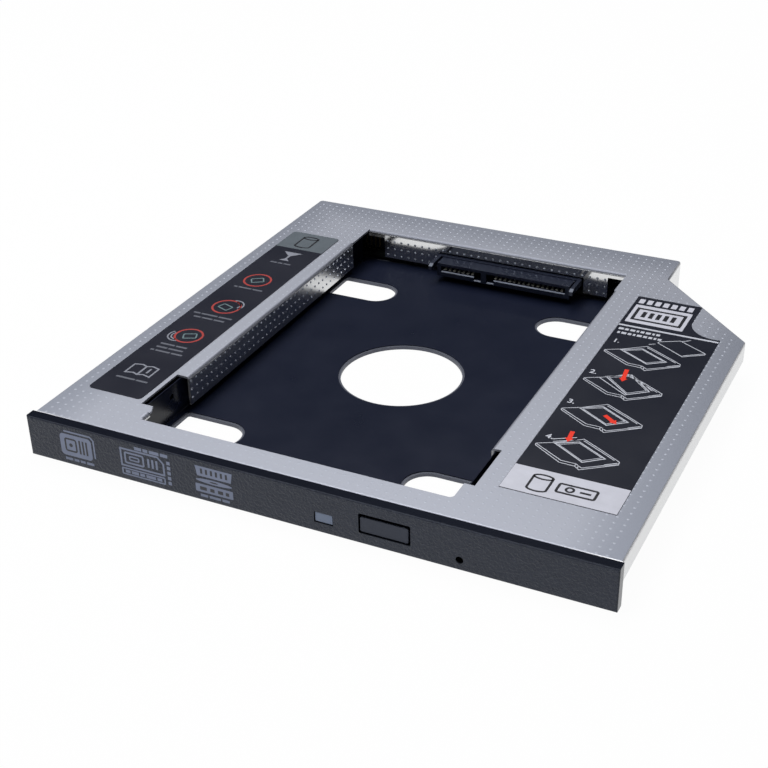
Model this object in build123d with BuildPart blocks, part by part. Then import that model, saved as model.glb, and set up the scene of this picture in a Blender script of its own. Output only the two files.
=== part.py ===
"""Slim laptop drive caddy: a sheet metal carrier with an open bay for a 2.5-inch drive.

Millimetres. +X runs to the right along the bezel, +Y from the bezel to the rear connector and +Z up.
The origin is the middle of the overall outline, at the underside.
"""
import os

from build123d import *

os.makedirs("parts", exist_ok=True)

# Body outline
body_width = 128.0
body_depth = 127.0
body_height = 9.5
deep_width = 103.0
wing_wall_height = 4.67
rear_step_depth = 11.6
wing_length = 90.1
corner_radius = 1.0

# Sheets and gaps
frame_sheet = 0.5
tray_sheet = 0.8
liner_sheet = 0.2
label_thickness = 0.1
nest_gap = 0.1
fit_gap = 0.05
skirt_clearance = 0.15
tray_bend_radius = 0.9
tray_wall_clearance = 0.5

# Drive bay in the top frame, from the body's left side, front and rear
bay_inset_left = 21.7
bay_inset_front = 6.1
bay_inset_rear = 13.5
bay_width = 71.1
bay_corner_radius = 1.0
fold_radius = 0.8
flange_floor_gap = 1.5
lip_drop = 1.6
edge_round = 0.35
flange_setback_front = 19.3
flange_setback_rear = 9.5
rear_flange_inset = 4.65
notch_setback = 5.5
left_notch_width = 3.0
right_notch_width = 2.2
tongue_width = 0.8
tongue_radius = 2.2
tongue_lip_start = 0.5
tongue_lip_length = 2.5
tongue_lip_drop = 1.0

# Floor openings: the hole from the body's left side and front, the slots from the hole and the bay's ends
floor_hole_radius = 14.04
floor_hole_from_left = 56.9
floor_hole_from_front = 59.1
slot_width = 9.8
slot_length = 16.0
slot_reach = 35.6
slots_from_bay_front = 13.4
slots_from_bay_rear = 17.6
slot_corner_radius = 0.6
liner_hole_margin = 0.5

# Bay liner
liner_left_wall_from_bay = 2.1
liner_right_wall_from_bay = 0.75
liner_wall_clearance = 0.1
liner_bend_radius = 0.4
liner_end_gap = 0.4
stop_hole_radius = 0.7
stop_hole_from_bay_front = 15.2
stop_hole_height = 6.1

# Bezel
bezel_depth = 2.46
bezel_left_lap = 0.65
bezel_right_lap = 0.25
bezel_wall = 1.2
bezel_edge_radius = 0.35
bezel_rib_thickness = 0.8
bezel_rib_spacing = 12.0
bezel_boss_width = 4.6
bezel_boss_depth = 3.2
bezel_boss_height = 4.2
bezel_tongue_width = 6.0
bezel_tongue_from_right = 17.0
bezel_tongue_length = 3.0
front_bay_depth = 3.6
front_wall_clearance = 1.0

# Eject button with its spring arm, from the body's left side and the underside
button_opening_width = 10.9
button_opening_height = 4.5
button_opening_from_left = 82.5
button_opening_centre = 4.7
button_left_gap = 0.18
button_right_gap = 0.5
button_lower_gap = 0.18
button_upper_gap = 0.85
button_recess = 0.25
button_corner_radius = 0.4
button_edge_chamfer = 0.12
button_lip = 0.9
button_lip_gap = 0.15
button_arm_length = 18.0
button_arm_height = 1.8
button_arm_thickness = 0.8
pivot_from_front = 1.85
pivot_radius = 0.75
pivot_gap = 0.05
pivot_eye_wall = 0.7
pivot_shelf = 0.6
pivot_head = 0.3

# Indicator window and emergency pinhole, from the body's left side and the underside
window_width = 3.7
window_height = 2.0
window_from_left = 69.5
window_centre = 3.45
window_gap = 0.2
window_recess = 0.2
window_lip = 0.5
window_lip_thickness = 0.7
pinhole_radius = 0.78
pinhole_from_left = 97.9
pinhole_height = 2.35
pinhole_wall = 0.8

# Drive connector, from the body's left side and the bay's rear edge
connector_from_left = 62.05
connector_end_margin = 2.12
connector_reach = 5.4
connector_depth = 9.5
connector_top = 6.2
contact_pitch = 1.27
signal_count = 7
power_count = 15
row_gap_pitches = 5
slot_floor = 4.1
slot_height = 1.4
slot_depth = 5.0
slot_end_margin = 1.05
slot_lip_chamfer = 0.25
key_offset = 0.45
key_width = 1.95
key_drop = 0.9
arm_gap = 0.6
arm_width = 0.95
arm_height = 1.5
arm_rise = 0.2
arm_reach = 2.1
arm_lead_in = 1.0
arm_root = 4.0
arm_bridge = 1.2
contact_width = 0.6
contact_thickness = 0.2
contact_bow = 0.6
contact_foot = 1.2
contact_gap = 0.03
connector_window_gap = 0.3

# Adapter board
board_from_left = 2.6
board_width = 84.4
board_thickness = 1.0
board_gap = 0.4
boss_height = 0.9
boss_radius = 2.2
board_screw_inset = 3.4
board_screw_head_radius = 1.6
board_screw_head_height = 0.6
capacitor_length = 2.0
capacitor_width = 1.25
capacitor_height = 0.9
capacitor_spacing = 16.0

# Host connector at the rear, from the body's left side
host_from_left = 24.4
host_end_margin = 4.3
host_top_clearance = 1.4
host_depth = 8.5
host_wall = 0.7
host_cavity_depth = 6.0
host_tongue_length = 5.4
host_tongue_thickness = 1.2
host_signal_width = 10.4
host_power_width = 8.6
host_tongue_gap = 2.4
host_power_count = 6
host_power_pitch = 1.27
host_window_gap = 0.3

# Screws and nuts
screw_radius = 0.75
screw_recess_radius = 0.5
screw_recess_depth = 0.25
thread_gap = 0.03
frame_screw_length = 2.2
frame_screw_below_plate = 1.8
side_screw_from_front = 49.0
rear_screw_from_left = 72.0
bezel_screw_length = 4.0
bezel_screw_from_front = 2.0
bezel_screws_from_left = (12.0, 94.0)
nut_across_flats = 4.0
nut_length = 1.5
nut_bore_radius = 0.8
nut_clearance_radius = 1.2
nuts_from_left = (90.5, 98.0)

# Labels, from the body's left side and front
left_label_inset = 4.0
left_label_width = 13.6
left_label_start = 12.8
left_label_length = 91.7
label_corner_radius = 1.0
right_label_inset = 99.2
right_label_width = 23.4
right_label_start = 13.2
right_label_field_length = 75.2
right_label_block_width = 15.4
right_label_block_length = 9.0
right_label_sweep = 5.8
right_label_dip = 0.9

# Planes and lines that the pieces share
bezel_width = body_width + bezel_left_lap + bezel_right_lap
left = -bezel_width / 2 + bezel_left_lap
right = left + body_width
front = (bezel_depth - body_depth) / 2
rear = front + body_depth
deep_right = left + deep_width
wing_rear = front + wing_length
step_front = rear - rear_step_depth
wing_underside = body_height - wing_wall_height
plate_underside = body_height - frame_sheet
bay_left = left + bay_inset_left
bay_right = bay_left + bay_width
bay_front = front + bay_inset_front
bay_rear = rear - bay_inset_rear
bay_length = bay_rear - bay_front
flange_start = bay_front + flange_setback_front
flange_end = bay_rear - flange_setback_rear
tongue_edge = bay_left + tongue_width
nest = frame_sheet + nest_gap
liner_top = tray_sheet + liner_sheet
flange_drop = body_height - liner_top - flange_floor_gap
liner_wall_top = plate_underside - liner_wall_clearance
front_wall_top = plate_underside - front_wall_clearance
tray_wall_top = plate_underside - tray_wall_clearance
frame_screw_height = plate_underside - frame_screw_below_plate
nut_height = body_height / 2
tray_rear_inner = rear - nest - tray_sheet
front_wall = front + front_bay_depth
hole_x = left + floor_hole_from_left
hole_y = front + floor_hole_from_front
board_left = left + board_from_left
board_front = bay_rear + frame_sheet + board_gap
board_depth = tray_rear_inner - board_gap - board_front
board_underside = tray_sheet + boss_height
board_top = board_underside + board_thickness
connector_x = left + connector_from_left
connector_front = bay_rear - connector_reach
connector_rear = connector_front + connector_depth
contact_span = (signal_count + power_count - 2 + row_gap_pitches) * contact_pitch
connector_width = contact_span + 2 * connector_end_margin
first_contact = connector_x - contact_span / 2
last_signal = first_contact + (signal_count - 1) * contact_pitch
first_power = last_signal + row_gap_pitches * contact_pitch
arm_top = connector_top + arm_rise
arm_outer = connector_width / 2 + arm_gap + arm_width
host_x = left + host_from_left
host_front = rear - host_depth
host_height = plate_underside - host_top_clearance - board_top
host_middle = board_top + host_height / 2
host_tongues_width = host_signal_width + host_tongue_gap + host_power_width
host_width = host_tongues_width + 2 * host_end_margin
button_opening_x = left + button_opening_from_left
button_width = button_opening_width - button_left_gap - button_right_gap
button_height = button_opening_height - button_lower_gap - button_upper_gap
button_x = button_opening_x + (button_left_gap - button_right_gap) / 2
button_z = button_opening_centre + (button_lower_gap - button_upper_gap) / 2
pivot_x = button_x - button_arm_length
pivot_y = front + pivot_from_front
eye_radius = pivot_radius + pivot_gap + pivot_eye_wall
arm_underside = button_z
body_outline = [
    (left, front),
    (right, front),
    (right, wing_rear),
    (deep_right, step_front),
    (deep_right, rear),
    (left, rear),
]

# Screw seats: each plane looks out of the face that the screw's head lies flush with
frame_screw_planes = [
    Plane(origin=(left, front + side_screw_from_front, frame_screw_height), z_dir=(-1, 0, 0)),
    Plane(origin=(left + rear_screw_from_left, rear, frame_screw_height), z_dir=(0, 1, 0)),
]
bezel_screw_planes = [
    Plane(origin=(left + distance, front + bezel_screw_from_front, 0), z_dir=(0, 0, -1))
    for distance in bezel_screws_from_left
]
board_screw_places = [
    (x, board_front + board_depth / 2, board_top)
    for x in (board_left + board_screw_inset, board_left + board_width - board_screw_inset)
]
nut_planes = [
    Plane(origin=(left + distance, tray_rear_inner, nut_height), z_dir=(0, 1, 0))
    for distance in nuts_from_left
]


def folded_edge(start, inward, length, drop):
    """Return a sheet edge that folds down over the bay: a quarter bend with a flange below it."""
    inner_radius = fold_radius - frame_sheet
    plane = Plane(origin=start, x_dir=inward, z_dir=Vector(*inward).cross(Vector(0, 0, 1)))
    with BuildPart() as fold:
        with BuildSketch(plane):
            with BuildLine():
                CenterArc((0, -fold_radius), fold_radius, 0, 90)
                Line((0, 0), (0, -frame_sheet))
                CenterArc((0, -fold_radius), inner_radius, 0, 90)
                Line((inner_radius, -fold_radius), (inner_radius, -drop))
                Line((inner_radius, -drop), (fold_radius, -drop))
                Line((fold_radius, -drop), (fold_radius, -fold_radius))
            make_face()
        extrude(amount=length)
    return fold.part


def screw_form(head_height, shank_length, gap=0.0):
    """Return a countersunk screw whose head lies flush at z = 0, or with a gap the cutter for its seat."""
    with BuildPart() as screw:
        with BuildSketch(Plane.XZ):
            with BuildLine():
                Polyline(
                    (0, 0),
                    (screw_radius + head_height + gap, 0),
                    (screw_radius + gap, -head_height),
                    (screw_radius + gap, -shank_length),
                    (0, -shank_length),
                    close=True,
                )
            make_face()
        revolve(axis=Axis.Z)
        if gap == 0:
            with BuildSketch():
                RegularPolygon(screw_recess_radius, 6)
            extrude(amount=-screw_recess_depth, mode=Mode.SUBTRACT)
    return screw.part


def d_slot(margin):
    """Return a slot with a straight end at x = 0 and a round end towards +X, larger by a margin."""
    straight = slot_length - slot_width / 2
    with BuildSketch() as slot:
        with Locations((straight, 0)):
            Circle(slot_width / 2 + margin)
        with Locations((-margin, 0)):
            Rectangle(straight + margin, slot_width + 2 * margin, align=(Align.MIN, Align.CENTER))
        fillet(slot.vertices().group_by(Axis.X)[0], slot_corner_radius + margin)
    return slot.sketch


def floor_openings(margin=0.0):
    """Return the round hole and the four slots of the floor, each larger by a margin."""
    places = []
    for y in (bay_front + slots_from_bay_front, bay_rear - slots_from_bay_rear):
        places.append(Location((hole_x - slot_reach, y, 0)))
        places.append(Location((hole_x + slot_reach, y, 0), (0, 0, 180)))
    slot = d_slot(margin)
    with BuildSketch() as openings:
        with Locations((hole_x, hole_y)):
            Circle(floor_hole_radius + margin)
        with Locations(*places):
            add(slot)
    return openings.sketch


def outline_face(inset=0.0):
    """Return the body's outline with rounded rear corners, drawn in by an inset."""
    with BuildSketch() as outline:
        with BuildLine():
            Polyline(*body_outline, close=True)
        make_face()
        fillet(outline.vertices().sort_by(Axis.Y)[2:], corner_radius)
        if inset:
            offset(amount=-inset, mode=Mode.REPLACE)
    return outline.sketch


def contact_row(points, width, places):
    """Return a row of bent strips that follow the points, given as (y, z), one at each x in places."""
    with BuildSketch(Plane.YZ) as strip:
        with BuildLine():
            Polyline(*points)
        trace(line_width=contact_thickness)
    with BuildPart() as row:
        for x in places:
            with Locations((x, 0, 0)):
                add(extrude(strip.sketch, amount=width / 2, both=True, mode=Mode.PRIVATE))
    return row.part


# Top frame: one dotted sheet with folded flanges round the bay and walls folded down outside
outer_face = outline_face()
inner_face = outline_face(frame_sheet)
bay_folds = [
    folded_edge(
        (bay_left - fold_radius, flange_end, body_height),
        (1, 0, 0),
        flange_end - flange_start,
        flange_drop,
    ),
    folded_edge(
        (bay_right + fold_radius, flange_start, body_height),
        (-1, 0, 0),
        flange_end - flange_start,
        flange_drop,
    ),
    folded_edge(
        (bay_right - rear_flange_inset, bay_rear + fold_radius, body_height),
        (0, -1, 0),
        bay_width - 2 * rear_flange_inset,
        flange_drop,
    ),
    folded_edge((bay_right, bay_rear + fold_radius, body_height), (0, -1, 0), bay_width, lip_drop),
    folded_edge(
        (tongue_edge - fold_radius, bay_front + tongue_lip_start + tongue_lip_length, body_height),
        (1, 0, 0),
        tongue_lip_length,
        tongue_lip_drop,
    ),
]
frame_screw_seat = screw_form(frame_sheet, nest + 2 * tray_sheet, thread_gap)

with BuildPart() as top_frame:
    with BuildSketch(Plane.XY.offset(plate_underside)):
        add(outer_face)
    extrude(amount=frame_sheet)
    # Outer walls: down to the wing's underside all round, and to the tray's floor round the deep part
    with BuildSketch(Plane.XY.offset(wing_underside)):
        add(outer_face)
        add(inner_face, mode=Mode.SUBTRACT)
        with Locations(((left + right) / 2, front)):
            Rectangle(body_width - 2 * frame_sheet, 4 * frame_sheet, mode=Mode.SUBTRACT)
    extrude(amount=plate_underside - wing_underside)
    with BuildSketch(Plane.XY.offset(skirt_clearance)):
        add(outer_face)
        add(inner_face, mode=Mode.SUBTRACT)
        with Locations((left + frame_sheet, front)):
            Rectangle(
                body_width, body_depth - rear_step_depth, align=(Align.MIN, Align.MIN), mode=Mode.SUBTRACT
            )
    extrude(amount=wing_underside - skirt_clearance)
    fillet(top_frame.faces().sort_by(Axis.Z)[-1].outer_wire().edges(), min(edge_round, 0.8 * frame_sheet))
    # Bay opening with its two notches, less the tongue at the front left
    with BuildSketch(Plane.XY.offset(plate_underside)) as opening:
        with Locations((bay_left, bay_front)):
            Rectangle(bay_width, bay_length, align=(Align.MIN, Align.MIN))
        fillet(opening.vertices().group_by(Axis.Y)[0].sort_by(Axis.X)[-1], bay_corner_radius)
        notch_length = flange_setback_front - notch_setback
        with Locations((bay_left - left_notch_width, bay_front + notch_setback)):
            Rectangle(2 * left_notch_width, notch_length, align=(Align.MIN, Align.MIN))
        with Locations((bay_right + right_notch_width, bay_front + notch_setback)):
            Rectangle(2 * right_notch_width, notch_length, align=(Align.MAX, Align.MIN))
        with BuildSketch(mode=Mode.PRIVATE) as tongue:
            with Locations((tongue_edge, bay_front + notch_setback)):
                Rectangle(2 * left_notch_width, 2 * notch_setback, align=(Align.MAX, Align.MAX))
            fillet(tongue.vertices().group_by(Axis.Y)[-1].sort_by(Axis.X)[-1], tongue_radius)
        add(tongue.sketch, mode=Mode.SUBTRACT)
        # Strips that the bends take up
        for x, align in ((bay_left, Align.MAX), (bay_right, Align.MIN)):
            with Locations((x, flange_start)):
                Rectangle(fold_radius, flange_end - flange_start, align=(align, Align.MIN))
        with Locations((bay_left, bay_rear)):
            Rectangle(bay_width, fold_radius, align=(Align.MIN, Align.MIN))
        with Locations((tongue_edge, bay_front + tongue_lip_start)):
            Rectangle(fold_radius, tongue_lip_length, align=(Align.MAX, Align.MIN))
    extrude(amount=frame_sheet, mode=Mode.SUBTRACT)
    for fold in bay_folds:
        add(fold)
    # Window in the rear flange for the drive connector
    with BuildSketch(Plane.XZ.offset(-bay_rear)):
        with Locations((connector_x, 0)):
            Rectangle(
                2 * (arm_outer + connector_window_gap),
                arm_top + connector_window_gap,
                align=(Align.CENTER, Align.MIN),
            )
    extrude(amount=-frame_sheet, mode=Mode.SUBTRACT)
    # Rear wall: window for the host connector and holes in front of the nuts
    with BuildSketch(Plane.XZ.offset(-rear)):
        with Locations((host_x, host_middle)):
            Rectangle(host_width + 2 * host_window_gap, host_height + 2 * host_window_gap)
        with Locations(*[(left + distance, nut_height) for distance in nuts_from_left]):
            Circle(nut_clearance_radius)
    extrude(amount=frame_sheet, mode=Mode.SUBTRACT)
    with Locations(*frame_screw_planes):
        add(frame_screw_seat, mode=Mode.SUBTRACT)
top_frame.part.label = "top_frame"
export_step(top_frame.part, "parts/top_frame.step")

# Bottom tray: one folded sheet, deep on the left and stepped up to the wing on the right
half_sheet = tray_sheet / 2
tray_section = [
    (left + nest + half_sheet, tray_wall_top),
    (left + nest + half_sheet, half_sheet),
    (deep_right - nest - half_sheet, half_sheet),
    (deep_right - nest - half_sheet, wing_underside + half_sheet),
    (right - nest - half_sheet, wing_underside + half_sheet),
    (right - nest - half_sheet, tray_wall_top),
]
nested_face = outline_face(nest)
tray_openings = floor_openings()
bezel_screw_seat = screw_form(tray_sheet, bezel_screw_length + tray_sheet, thread_gap)

with BuildPart() as bottom_tray:
    with BuildSketch(Plane.XZ.offset(-front - nest_gap)):
        with BuildLine():
            FilletPolyline(*tray_section, radius=tray_bend_radius)
        trace(line_width=tray_sheet)
    extrude(amount=-(body_depth - nest_gap - nest))
    with BuildSketch():
        add(nested_face)
        with Locations(((left + right) / 2, front)):
            Rectangle(body_width - 2 * nest, 4 * nest)
    extrude(amount=body_height, mode=Mode.INTERSECT)
    # Front and rear walls
    wall_width = deep_width - 2 * nest - tray_sheet
    wall_x = left + nest + half_sheet
    with Locations((wall_x, front_wall, half_sheet)):
        Box(wall_width, tray_sheet, front_wall_top - half_sheet, align=(Align.MIN, Align.MIN, Align.MIN))
    with Locations((wall_x, tray_rear_inner, half_sheet)):
        Box(wall_width, tray_sheet, tray_wall_top - half_sheet, align=(Align.MIN, Align.MIN, Align.MIN))
    # Bosses under the adapter board
    with BuildSketch(Plane.XY.offset(half_sheet)):
        with Locations(*[(x, y) for x, y, z in board_screw_places]):
            Circle(boss_radius)
    extrude(amount=board_underside - half_sheet)
    with BuildSketch():
        add(tray_openings)
        with Locations(*[(x, y) for x, y, z in board_screw_places]):
            Circle(screw_radius + thread_gap)
    extrude(amount=board_underside, mode=Mode.SUBTRACT)
    with BuildSketch(Plane.XZ.offset(-rear)):
        with Locations((host_x, host_middle)):
            Rectangle(host_width + 2 * host_window_gap, host_height + 2 * host_window_gap)
        with Locations(*[(left + distance, nut_height) for distance in nuts_from_left]):
            Circle(nut_clearance_radius)
    extrude(amount=nest + 1.5 * tray_sheet, mode=Mode.SUBTRACT)
    with Locations(*frame_screw_planes):
        add(frame_screw_seat, mode=Mode.SUBTRACT)
    with Locations(*bezel_screw_planes):
        add(bezel_screw_seat, mode=Mode.SUBTRACT)
bottom_tray.part.label = "bottom_tray"
export_step(bottom_tray.part, "parts/bottom_tray.step")

# Bay liner: insulating film on the floor, folded up along both sides of the bay
half_film = liner_sheet / 2
liner_left = bay_left - liner_left_wall_from_bay - half_film
liner_right = bay_right + liner_right_wall_from_bay + half_film
liner_section = [
    (liner_left, liner_wall_top),
    (liner_left, liner_top - half_film),
    (liner_right, liner_top - half_film),
    (liner_right, liner_wall_top),
]
liner_start = front_wall + tray_sheet + liner_end_gap
liner_openings = floor_openings(liner_hole_margin)

stop_hole_plane = Plane(
    origin=(liner_left, bay_front + stop_hole_from_bay_front, stop_hole_height), z_dir=(1, 0, 0)
)

with BuildPart() as bay_liner:
    with BuildSketch(Plane.XZ.offset(-liner_start)):
        with BuildLine():
            FilletPolyline(*liner_section, radius=liner_bend_radius)
        trace(line_width=liner_sheet)
    extrude(amount=-(board_front - liner_end_gap - liner_start))
    with BuildSketch():
        add(liner_openings)
    extrude(amount=2 * liner_top, mode=Mode.SUBTRACT)
    with Locations(stop_hole_plane):
        Cylinder(stop_hole_radius, 4 * liner_sheet, mode=Mode.SUBTRACT)
bay_liner.part.label = "bay_liner"
export_step(bay_liner.part, "parts/bay_liner.step")

# Bezel: a hollow moulding, open at the back, with ribs, screw bosses and a tongue under the frame
bezel_back = front - fit_gap
rib_count = int(bezel_width / bezel_rib_spacing) - 1
boss_base = tray_sheet + fit_gap

with BuildPart() as bezel:
    with BuildSketch(Plane.XZ.offset(-bezel_back)):
        with Locations((0, body_height / 2)):
            Rectangle(bezel_width, body_height)
    extrude(amount=bezel_depth - fit_gap)
    fillet(bezel.faces().sort_by(Axis.Y)[0].edges(), bezel_edge_radius)
    with BuildSketch(Plane.XZ.offset(-bezel_back)):
        with Locations((0, body_height / 2)):
            Rectangle(bezel_width - 2 * bezel_wall, body_height - 2 * bezel_wall)
            with GridLocations(bezel_rib_spacing, 1, rib_count, 1):
                Rectangle(bezel_rib_thickness, body_height, mode=Mode.SUBTRACT)
        with Locations((left + window_from_left, window_centre)):
            Rectangle(window_width + 4 * window_lip, window_height + 4 * window_lip)
        with Locations((button_opening_x, button_opening_centre)):
            Rectangle(
                button_opening_width + 2 * bezel_wall,
                button_opening_height + 2 * bezel_wall,
                mode=Mode.SUBTRACT,
            )
        with Locations(*[(left + distance, boss_base) for distance in bezel_screws_from_left]):
            Rectangle(
                bezel_boss_width, bezel_boss_height, align=(Align.CENTER, Align.MIN), mode=Mode.SUBTRACT
            )
        with Locations((left + pinhole_from_left, pinhole_height)):
            Circle(pinhole_radius + pinhole_wall, mode=Mode.SUBTRACT)
    extrude(amount=bezel_depth - fit_gap - bezel_wall, mode=Mode.SUBTRACT)
    # Pieces behind the front: screw bosses, the tongue in the wing and the button's pivot
    with Locations(*[(left + distance, bezel_back, boss_base) for distance in bezel_screws_from_left]):
        Box(
            bezel_boss_width,
            bezel_boss_depth + fit_gap,
            bezel_boss_height,
            align=(Align.CENTER, Align.MIN, Align.MIN),
        )
    tongue_base = wing_underside + tray_sheet + nest_gap
    with Locations((right - bezel_tongue_from_right, bezel_back, tongue_base)):
        Box(
            bezel_tongue_width,
            bezel_tongue_length,
            plate_underside - nest_gap - tongue_base,
            align=(Align.CENTER, Align.MIN, Align.MIN),
        )
    with Locations((pivot_x, bezel_back, arm_underside - nest_gap)):
        Box(
            2 * eye_radius,
            pivot_y + eye_radius - bezel_back,
            pivot_shelf,
            align=(Align.CENTER, Align.MIN, Align.MAX),
        )
    with Locations((pivot_x, pivot_y, arm_underside - nest_gap)):
        Cylinder(
            pivot_radius,
            nest_gap + button_arm_height + pivot_head,
            align=(Align.CENTER, Align.CENTER, Align.MIN),
        )
    # Openings in the front
    with BuildSketch(Plane.XZ.offset(-bezel_back)) as face_openings:
        with Locations((button_opening_x, button_opening_centre)):
            RectangleRounded(button_opening_width, button_opening_height, button_corner_radius)
        with Locations((left + window_from_left, window_centre)):
            Rectangle(window_width + 2 * window_gap, window_height + 2 * window_gap)
        with Locations((left + pinhole_from_left, pinhole_height)):
            Circle(pinhole_radius)
    extrude(amount=bezel_depth, mode=Mode.SUBTRACT)
    with Locations(*bezel_screw_planes):
        add(bezel_screw_seat, mode=Mode.SUBTRACT)
bezel.part.label = "bezel"
export_step(bezel.part, "parts/bezel.step")

# Eject button: the cap, a lip that keeps it behind the bezel and a spring arm to its pivot
lip_front = front + button_lip_gap

with BuildPart() as eject_button:
    with BuildSketch(Plane.XZ.offset(-lip_front)):
        with Locations((button_x, button_z)):
            RectangleRounded(button_width, button_height, button_corner_radius)
    extrude(amount=bezel_depth + button_lip_gap - button_recess)
    chamfer(eject_button.faces().sort_by(Axis.Y)[0].edges(), button_edge_chamfer)
    with BuildSketch(Plane.XZ.offset(-lip_front)):
        with Locations((button_x, button_z)):
            Rectangle(button_width + 2 * button_lip, button_height + 2 * button_lip)
        with Locations((pivot_x, arm_underside)):
            Rectangle(button_arm_length, button_arm_height, align=(Align.MIN, Align.MIN))
    extrude(amount=-button_arm_thickness)
    with Locations((pivot_x, pivot_y, arm_underside)):
        Cylinder(eye_radius, button_arm_height, align=(Align.CENTER, Align.CENTER, Align.MIN))
        Cylinder(
            pivot_radius + pivot_gap,
            button_arm_height,
            align=(Align.CENTER, Align.CENTER, Align.MIN),
            mode=Mode.SUBTRACT,
        )
eject_button.part.label = "eject_button"
export_step(eject_button.part, "parts/eject_button.step")

# Indicator window: a clear block with a lip behind the bezel's front
with BuildPart() as indicator_window:
    front_wall_back = front - bezel_depth + bezel_wall
    with BuildSketch(Plane.XZ.offset(-front_wall_back)):
        with Locations((left + window_from_left, window_centre)):
            Rectangle(window_width, window_height)
    extrude(amount=bezel_wall - window_recess)
    with BuildSketch(Plane.XZ.offset(-front_wall_back - thread_gap)):
        with Locations((left + window_from_left, window_centre)):
            Rectangle(window_width + 2 * window_lip, window_height + 2 * window_lip)
    extrude(amount=-window_lip_thickness)
    with BuildSketch(Plane.XZ.offset(-front_wall_back)):
        with Locations((left + window_from_left, window_centre)):
            Rectangle(window_width, window_height)
    extrude(amount=-thread_gap)
indicator_window.part.label = "indicator_window"
export_step(indicator_window.part, "parts/indicator_window.step")

# Adapter board with its capacitors and screws
with BuildPart() as adapter_board:
    with Locations((board_left, board_front, board_underside)):
        Box(board_width, board_depth, board_thickness, align=(Align.MIN, Align.MIN, Align.MIN))
    with Locations(*board_screw_places):
        Hole(screw_radius + fit_gap)
adapter_board.part.label = "adapter_board"
export_step(adapter_board.part, "parts/adapter_board.step")

with BuildPart() as board_capacitors:
    capacitor_y = (connector_rear + 1.5 * contact_foot + board_front + board_depth) / 2
    with Locations((connector_x, capacitor_y, board_top)):
        with GridLocations(capacitor_spacing, 1, 2, 1):
            Box(
                capacitor_length,
                capacitor_width,
                capacitor_height,
                align=(Align.CENTER, Align.CENTER, Align.MIN),
            )
board_capacitors.part.label = "board_capacitors"
export_step(board_capacitors.part, "parts/board_capacitors.step")

with BuildPart() as board_screws:
    with Locations(*board_screw_places):
        Cylinder(
            board_screw_head_radius, board_screw_head_height, align=(Align.CENTER, Align.CENTER, Align.MIN)
        )
        Cylinder(
            screw_radius,
            board_thickness + boss_height,
            align=(Align.CENTER, Align.CENTER, Align.MAX),
        )
board_screws.part.label = "board_screws"
export_step(board_screws.part, "parts/board_screws.step")

# Drive connector: a block with two keyed slots, and a guide arm on each side
with BuildPart() as drive_connector:
    with Locations((connector_x, connector_front, board_top)):
        Box(
            connector_width,
            connector_depth,
            connector_top - board_top,
            align=(Align.CENTER, Align.MIN, Align.MIN),
        )
    for side in (-1, 1):
        arm_plane = Plane.YZ.offset(connector_x + side * (arm_outer - arm_width / 2))
        with BuildSketch(arm_plane):
            with BuildLine():
                Polyline(
                    (connector_front - arm_reach, arm_top - arm_height),
                    (connector_front + arm_root + arm_bridge, arm_top - arm_height),
                    (connector_front + arm_root + arm_bridge, arm_top),
                    (connector_front - arm_reach + arm_lead_in, arm_top),
                    (connector_front - arm_reach, arm_top - arm_lead_in / 2),
                    close=True,
                )
            make_face()
        extrude(amount=arm_width / 2, both=True)
    with Locations((connector_x, connector_front + arm_root, arm_top)):
        Box(2 * arm_outer, arm_bridge, arm_height, align=(Align.CENTER, Align.MIN, Align.MAX))
    # Two slots, each with its key at the inner end
    with BuildSketch(Plane.XZ.offset(-connector_front)):
        with Locations((first_contact - slot_end_margin, slot_floor)):
            Rectangle(
                last_signal + key_offset + key_width - first_contact + slot_end_margin,
                slot_height,
                align=(Align.MIN, Align.MIN),
            )
        with Locations((first_contact + contact_span + slot_end_margin, slot_floor)):
            Rectangle(
                first_contact + contact_span + slot_end_margin - first_power + key_offset + key_width,
                slot_height,
                align=(Align.MAX, Align.MIN),
            )
        with Locations((last_signal + key_offset, slot_floor + fit_gap)):
            Rectangle(key_width, key_drop + fit_gap, align=(Align.MIN, Align.MAX))
        with Locations((first_power - key_offset, slot_floor + fit_gap)):
            Rectangle(key_width, key_drop + fit_gap, align=(Align.MAX, Align.MAX))
    extrude(amount=-slot_depth, mode=Mode.SUBTRACT)
    lower_lips = (
        drive_connector.faces()
        .filter_by(Axis.Z)
        .filter_by(lambda face: face.normal_at().Z > 0 and face.center().Z < slot_floor + slot_height / 2)
        .edges()
        .filter_by(Axis.X)
        .filter_by(lambda edge: abs(edge.center().Y - connector_front) < fit_gap)
    )
    chamfer(lower_lips, slot_lip_chamfer)
    # Channel behind each contact
    contact_places = [first_contact + index * contact_pitch for index in range(signal_count)]
    contact_places += [first_power + index * contact_pitch for index in range(power_count)]
    with BuildSketch(Plane.XZ.offset(-connector_front - slot_depth + fit_gap)):
        with Locations(*[(x, slot_floor) for x in contact_places]):
            Rectangle(
                contact_width + 2 * contact_gap,
                contact_thickness + 3 * contact_gap,
                align=(Align.CENTER, Align.MIN),
            )
    extrude(amount=-connector_depth, mode=Mode.SUBTRACT)
drive_connector.part.label = "drive_connector"
export_step(drive_connector.part, "parts/drive_connector.step")

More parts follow.
